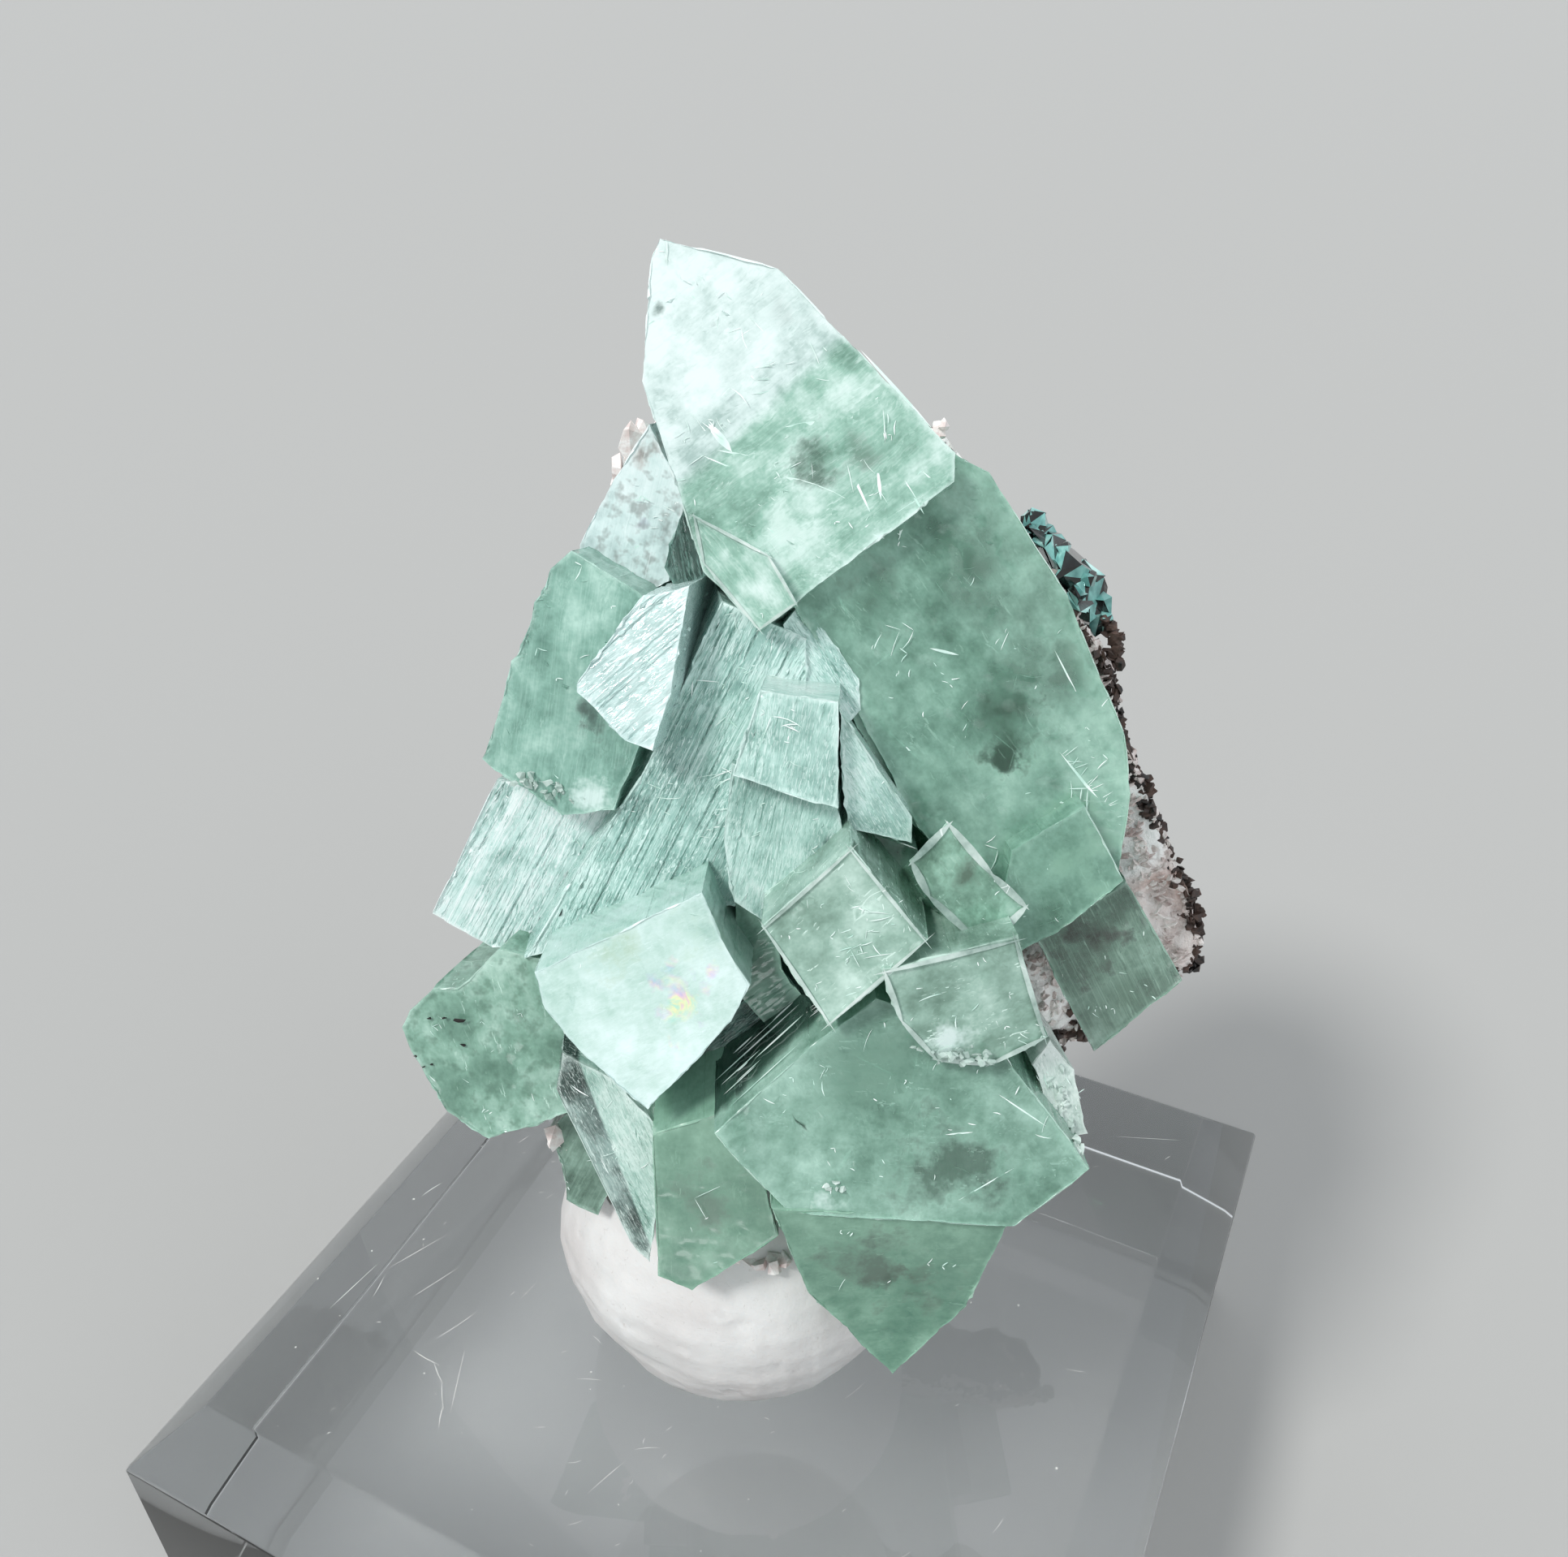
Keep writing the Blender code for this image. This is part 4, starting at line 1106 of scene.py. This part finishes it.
def build_glints(made):
    """Small bright cracks just under the crystals' faces, most of them along the cleavages."""
    bm = bmesh.new()
    rng = random.Random(41)
    for spec in CRYSTALS:
        spans = [max(c[i] for c in spec.corners) - min(c[i] for c in spec.corners) for i in (0, 1)]
        tries = int(spans[0] * spans[1] * LOOKS[spec.look].glints * GLINT_TRIES)
        cleavages = [rng.uniform(0, math.pi)]
        cleavages.append(cleavages[0] + math.pi / 2)
        for step in range(tries):
            below = 0.04 + 0.5 * rng.random() ** 2
            if step % FEATHER_COUNT == 0:
                root = spec.place_inside(below, rng)
                feather_angle = rng.choice(cleavages) + rng.gauss(0, 0.3)
            in_feather = root is not None and rng.random() < FEATHER_SHARE
            loose = Vector((rng.gauss(0, 0.5), rng.gauss(0, 0.5), 0))
            start = root + loose if in_feather else spec.place_inside(below, rng)
            angle = (feather_angle if in_feather else rng.choice(cleavages)) + rng.gauss(0, 0.25)
            length = 0.25 + 1.5 * rng.random() ** 3
            width = rng.uniform(0.025, 0.07)
            bend = rng.uniform(-0.10, 0.10) * length
            if start is not None:
                add_glint(bm, spec, start, angle, length, width, bend, rng)
    add_piece("inner_glints", bm, made, *GREEN)


def build_veils(made):
    """Milky sheets at odd angles inside the crystals."""
    bm = bmesh.new()
    rng = random.Random(43)
    turns = [2 * math.pi * step / VEIL_CORNERS for step in range(VEIL_CORNERS)]
    for spec in CRYSTALS:
        size = math.sqrt(len(spec.corners)) * 0.5
        for _ in range(VEILS_PER_CRYSTAL):
            centre = spec.place_inside(rng.uniform(0.8, 2.6), rng)
            slope = Vector((rng.gauss(0, 0.5), rng.gauss(0, 0.5), 1)).normalized()
            first = slope.orthogonal().normalized()
            second = slope.cross(first)
            radii = [rng.uniform(0.4, 1.0) * size for _ in turns]
            if centre is None:
                continue
            outline = []
            for turn, radius in zip(turns, radii):
                outline.append(centre + (first * math.cos(turn) + second * math.sin(turn) * 0.6) * radius)
            if all(spec.holds(point) for point in outline):
                add_sheet(bm, outline, VEIL_THICKNESS)
    add_piece("inner_veils", bm, made, *GREEN)


def build_large_flaws(made):
    """The larger bright flaws: right angles and blades, and the feathered crack in the great block."""
    bm = bmesh.new()
    rng = random.Random(47)
    for name, blades in BLADES.items():
        spec = crystal_named(name)
        for start, end, width in blades:
            add_sliver(bm, spec.on_face(start, -BLADE_DEPTH), spec.on_face(end, -BLADE_DEPTH), width, 0.05)
    add_step_lines(bm, rng)
    start, end = (Vector(point) for point in FEATHER_CRACK)
    add_sliver(bm, start, end, 0.16, 0.06)
    for _ in range(FEATHER_BARBS):
        root = start.lerp(end, rng.random())
        barb = Vector((rng.uniform(0.2, 0.9), rng.uniform(-0.1, 0.7), rng.uniform(-0.1, 0.05)))
        add_sliver(bm, root, root + barb, 0.04, 0.03)
    add_piece("large_inner_flaws", bm, made, *GREEN)


def add_step_lines(bm, rng):
    """Bright striations down the side of the foot, which is painted dark as shade."""
    foot = crystal_named("great_foot_upper")
    for _ in range(STEP_LINES):
        edge_start, edge_end = rng.choice(list(zip(STEP_EDGE, STEP_EDGE[1:])))
        shares = sorted((rng.random(), rng.random()))
        below = rng.uniform(0.3, 5.5)
        ends = []
        for share in shares:
            spot = Vector(edge_start).lerp(Vector(edge_end), share)
            beside = spot + foot.slant * below + Vector((-0.02, 0.02))
            ends.append(Vector((*beside, foot.front_at(*spot) - below)))
        if (ends[1] - ends[0]).length > 0.5:
            add_sliver(bm, *ends, rng.uniform(0.03, 0.10), 0.05)


def add_raised_rim(bm, spec, width):
    """A pale ridge just inside the edge of the crystal's front face."""
    inset = [Vector(corner).lerp(spec.middle, RIDGE_INSET) for corner in spec.corners]
    rim = [spec.on_face(spot, RIDGE_HEIGHT) for spot in inset]
    for start, end in zip(rim, rim[1:] + rim[:1]):
        overlap = (end - start) * RIDGE_OVERLAP
        add_sliver(bm, start - overlap, end + overlap, width, width * 0.6)


def build_frost(made):
    """Raised rims, and broken, frosty edges as small angular chips."""
    bm = bmesh.new()
    rng = random.Random(53)
    for spec in CRYSTALS:
        if spec.name in RIMMED:
            add_raised_rim(bm, spec, RIMMED[spec.name])
    for start, end, out, count, size in FROSTED_EDGES:
        for _ in range(count):
            spot = Vector(start).lerp(Vector(end), rng.random())
            across = spot.x + rng.gauss(0, size * 0.6)
            up = spot.y + rng.gauss(0, size * 0.6)
            place = (across, up, out + rng.uniform(-0.9, -0.1))
            add_crumb(bm, place, sizes_of(size, 0.35, rng), rng)
    add_piece("frosted_chips", bm, made, *GREEN)


def build_specks(made):
    """Tiny black grains in the low left mass and beside the square."""
    bm = bmesh.new()
    rng = random.Random(59)
    for place, size in BLACK_SPECKS:
        add_crumb(bm, place, (size, size * 0.45, 0.12), rng)
    add_piece("black_specks", bm, made, "dark_crystal", "apophyllite_crystals")


# Rock, putty and base -------------------------------------------------------------------------------------


def copy_of_node(name):
    """A mesh copy of a CAD node, in world millimetres."""
    bm = bmesh.new()
    bm.from_mesh(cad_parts[name].data)
    bm.transform(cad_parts[name].matrix_world)
    bmesh.ops.scale(bm, vec=(1 / MM, 1 / MM, 1 / MM), verts=bm.verts)
    bmesh.ops.remove_doubles(bm, verts=bm.verts, dist=0.001)
    return bm


def build_rock(made):
    bm = copy_of_node("host_rock")
    refine(bm, ROCK_STEP)
    layer = bm.verts.layers.float.new("rim")
    out = (FRAME.to_3x3() @ Vector((0, 0, 1))).normalized()

    def move_of(vert):
        vert[layer] = max(0.0, min(1.0, 1.25 - 1.1 * vert.normal.dot(out)))
        lump = noise.noise(vert.co * 0.45) * 0.7 + noise.noise(vert.co * 1.3) * 0.45
        grain = noise.noise(vert.co * 3.1) * 0.2
        return vert.normal * min(0.0, lump + grain - 0.4)

    displace(bm, move_of)
    grain_bm = bmesh.new()
    crust_bm = bmesh.new()
    rng = random.Random(61)
    for vert in bm.verts:
        place = UNFRAME @ vert.co
        if place.x < GRAINS_FROM or place.z < GRAINS_BACK:
            continue
        sizes = sizes_of(rng.uniform(0.22, 0.5), 0.5, rng)
        if vert[layer] < CRUST_RIM[0]:
            if rng.random() < GRAIN_SHARE:
                add_crumb(grain_bm, vert.co - vert.normal * 0.05, sizes, rng)
        elif vert[layer] < CRUST_RIM[1] or rng.random() < GRAIN_SHARE:
            add_crumb(crust_bm, vert.co - vert.normal * 0.15, sizes, rng)
    add_piece("host_rock_rough", bm, made, *ROCK, sharp_angle=40, in_specimen=False)
    for place, size in RIM_NODULES:
        add_crumb(crust_bm, FRAME @ Vector(place), (size, size, size * 0.8), rng)
    add_rim_crust(crust_bm, rng)
    add_rim_feathers(grain_bm, rng)
    grain_made = crust_material("pale_rock_grains", (186, 168, 164), (240, 236, 232))
    add_piece("rock_rim_grains", grain_bm, grain_made, *ROCK, in_specimen=False)
    crust_made = crust_material("brown_black_crust", (20, 17, 16), (84, 64, 56))
    add_piece("rock_rim_crust", crust_bm, crust_made, *ROCK, in_specimen=False)


def points_along(line, step):
    """Places a step apart down a line of points."""
    for start, end in zip(line, line[1:]):
        start, end = Vector(start), Vector(end)
        count = max(1, round((end - start).length / step))
        for index in range(count):
            yield start.lerp(end, index / count)


def add_rim_crust(bm, rng):
    """Overlapping lumps of crust that make the rock's right outline dark."""
    for spot in points_along(RIM_CRUST, 0.28):
        for _ in range(3):
            across = spot.x - rng.uniform(0.1, 0.7)
            up = spot.y + rng.gauss(0, 0.15)
            place = Vector((across, up, RIM_OUT + rng.uniform(-0.7, 0.3)))
            sizes = [rng.uniform(0.28, 0.5) for _ in range(3)]
            add_crumb(bm, FRAME @ place, sizes, rng)


def add_rim_feathers(bm, rng):
    """White fibres that run out to the rim from under the crystals."""
    turn = FRAME.to_3x3()
    for spot in points_along(RIM_FEATHERS, 0.16):
        start = Vector((spot.x - rng.uniform(0.9, 2.2), spot.y + rng.gauss(0, 0.3), RIM_OUT + 0.6))
        run = Vector((rng.uniform(0.3, 0.9), rng.uniform(-0.4, 0.6), rng.uniform(-0.05, 0.05)))
        add_sliver(bm, FRAME @ start, FRAME @ start + turn @ run, rng.uniform(0.15, 0.32), 0.2, 0.05)


def build_pale_lumps(made):
    """Lumps of pale rock between the crystals."""
    bm = bmesh.new()
    rng = random.Random(71)
    for place, sizes in PALE_LUMPS:
        for _ in range(3):
            shift = Vector([rng.gauss(0, size * 0.3) for size in sizes])
            add_crumb(bm, Vector(place) + shift, [size * rng.uniform(0.6, 1.0) for size in sizes], rng)
    add_piece("pale_rock_lumps", bm, made, *ROCK)


def build_dark_crystals():
    """Black crystals at the right rim, some of whose faces shine blue-green."""
    bm = copy_of_node("dark_crystals")
    rng = random.Random(67)
    places = [vert.co - vert.normal * 0.3 for vert in bm.verts]
    for place in rng.sample(places, min(DARK_LUMPS, len(places))):
        add_crumb(bm, place, sizes_of(rng.uniform(0.7, 1.5), 0.6, rng), rng)
    for face in bm.faces:
        face.material_index = 1 if rng.random() < TEAL_SHARE else 0
    black = dark_crystal_material("dark_crystal", (10, 13, 13), (22, 32, 31), (54, 78, 76))
    teal = dark_crystal_material("blue_green_face", (96, 150, 146), (136, 196, 190), (186, 230, 224))
    cluster = ("dark_crystal", "dark_crystals")
    piece = add_piece("dark_crystal_cluster", bm, black, *cluster, sharp_angle=12, in_specimen=False)
    piece.data.materials.append(teal)


def build_putty(made):
    """The ball of putty, pressed out of round above its flat contact with the base."""
    bm = copy_of_node("mounting_putty")
    refine(bm, PUTTY_STEP)

    def move_of(vert):
        squeeze = noise.noise(vert.co * 0.11) * 0.5 + noise.noise(vert.co * 0.35) * 0.2
        pit = max(0.0, noise.noise(vert.co * 0.9) - 0.45)
        held = vert.co.z < BASE_HEIGHT + PUTTY_FOOT
        return Vector() if held else vert.normal * min(0.0, squeeze - 0.1 - pit)

    displace(bm, move_of)
    ball = ("white_putty", "mounting_putty")
    add_piece("mounting_putty_ball", bm, made, *ball, sharp_angle=50, in_specimen=False)


def build_dust(made):
    """A fibre, specks of dust and hairline scratches on the base."""
    bm = bmesh.new()
    rng = random.Random(73)
    points = [Vector((x, y, BASE_HEIGHT + 0.04)) for x, y in DUST_FIBRE]
    for start, end in zip(points, points[1:]):
        add_sliver(bm, start, end + (end - start) * 0.25, 0.06, 0.03, 0.08)
    for _ in range(DUST_COUNT):
        x = rng.uniform(-BASE_TOP / 2, BASE_TOP / 2)
        y = rng.uniform(-BASE_TOP / 2, BASE_TOP / 2)
        size = rng.uniform(0.03, 0.10)
        add_crumb(bm, (x, y, BASE_HEIGHT + size * 0.3), (size, size, size * 0.6), rng)
    for _ in range(SCRATCH_COUNT):
        x = rng.uniform(-SCRATCH_REACH, SCRATCH_REACH) * BASE_TOP
        y = rng.uniform(-SCRATCH_REACH, SCRATCH_REACH) * BASE_TOP
        start = Vector((x, y, BASE_HEIGHT + 0.01))
        angle = rng.gauss(0.9, 0.5)
        run = Vector((math.cos(angle), math.sin(angle), 0)) * (0.4 + 5 * rng.random() ** 4)
        if all(abs(value) < BASE_TOP / 2 for value in (start + run)[:2]):
            add_sliver(bm, start, start + run, 0.045, 0.01, rng.uniform(-0.1, 0.1))
    add_piece("dust_on_base", bm, made, "white_putty", "acrylic_base", in_specimen=False)


def build_base(made):
    """The CAD base with its edges just softened."""
    bm = copy_of_node("acrylic_base")
    bmesh.ops.dissolve_limit(bm, angle_limit=math.radians(1), verts=bm.verts, edges=bm.edges)
    soften(bm, list(bm.edges), BASE_SOFTNESS, 0.5)
    base = ("clear_acrylic", "acrylic_base")
    add_piece("acrylic_block", bm, made, *base, sharp_angle=20, in_specimen=False)


# Stage ----------------------------------------------------------------------------------------------------


def add_floor():
    bm = bmesh.new()
    bmesh.ops.create_grid(bm, x_segments=1, y_segments=1, size=FLOOR_SIZE)
    mesh = bpy.data.meshes.new("floor")
    bm.to_mesh(mesh)
    bm.free()
    floor = bpy.data.objects.new("floor", mesh)
    floor.location.z = -FLOOR_DROP
    mesh.materials.append(floor_material())
    bpy.context.scene.collection.objects.link(floor)


def add_lights():
    """Soft suns aimed at the middle of the crystals, and an even sky."""
    aim = FRAME @ Vector(LIGHTS_AIM)
    for name, place, spread_angle, strength, color in SUNS:
        data = bpy.data.lights.new(name, "SUN")
        data.angle = math.radians(spread_angle)
        data.energy = strength
        data.color = color
        light = bpy.data.objects.new(name, data)
        light.rotation_euler = (aim - FRAME @ Vector(place)).to_track_quat("-Z", "Y").to_euler()
        bpy.context.scene.collection.objects.link(light)
    world = bpy.data.worlds.new("soft_studio")
    world.use_nodes = True
    plug_all(world.node_tree, world.node_tree.nodes["Background"], Color=SKY_COLOR, Strength=SKY_STRENGTH)
    bpy.context.scene.world = world
    bpy.context.scene.view_settings.view_transform = "Standard"


def add_camera():
    data = bpy.data.cameras.new("camera")
    data.lens = CAMERA_LENS
    data.sensor_width = 36.0
    data.clip_start = 0.005
    camera = bpy.data.objects.new("camera", data)
    camera.location = Vector(CAMERA_PLACE) * MM
    camera.rotation_euler = (math.radians(90) - CAMERA_DIP, 0, CAMERA_TURN)
    bpy.context.scene.collection.objects.link(camera)
    bpy.context.scene.camera = camera


def main():
    add_camera()
    add_floor()
    add_lights()
    crystal_materials = {name: crystal_material(name, look) for name, look in LOOKS.items()}
    build_crystals(crystal_materials)
    flaw = flaw_material()
    build_glints(flaw)
    build_large_flaws(flaw)
    build_veils(veil_material())
    build_frost(crystal_materials["frosty"])
    build_specks(crust_material("black_speck", (10, 10, 9), (34, 32, 30)))
    build_rock(rock_material())
    build_dark_crystals()
    build_putty(putty_material())
    build_pale_lumps(crust_material("pale_rock_lumps", (220, 202, 198), (248, 246, 244)))
    build_base(acrylic_material())
    build_dust(crust_material("dust", (190, 190, 186), (228, 228, 224)))
    bpy.context.view_layer.update()


main()
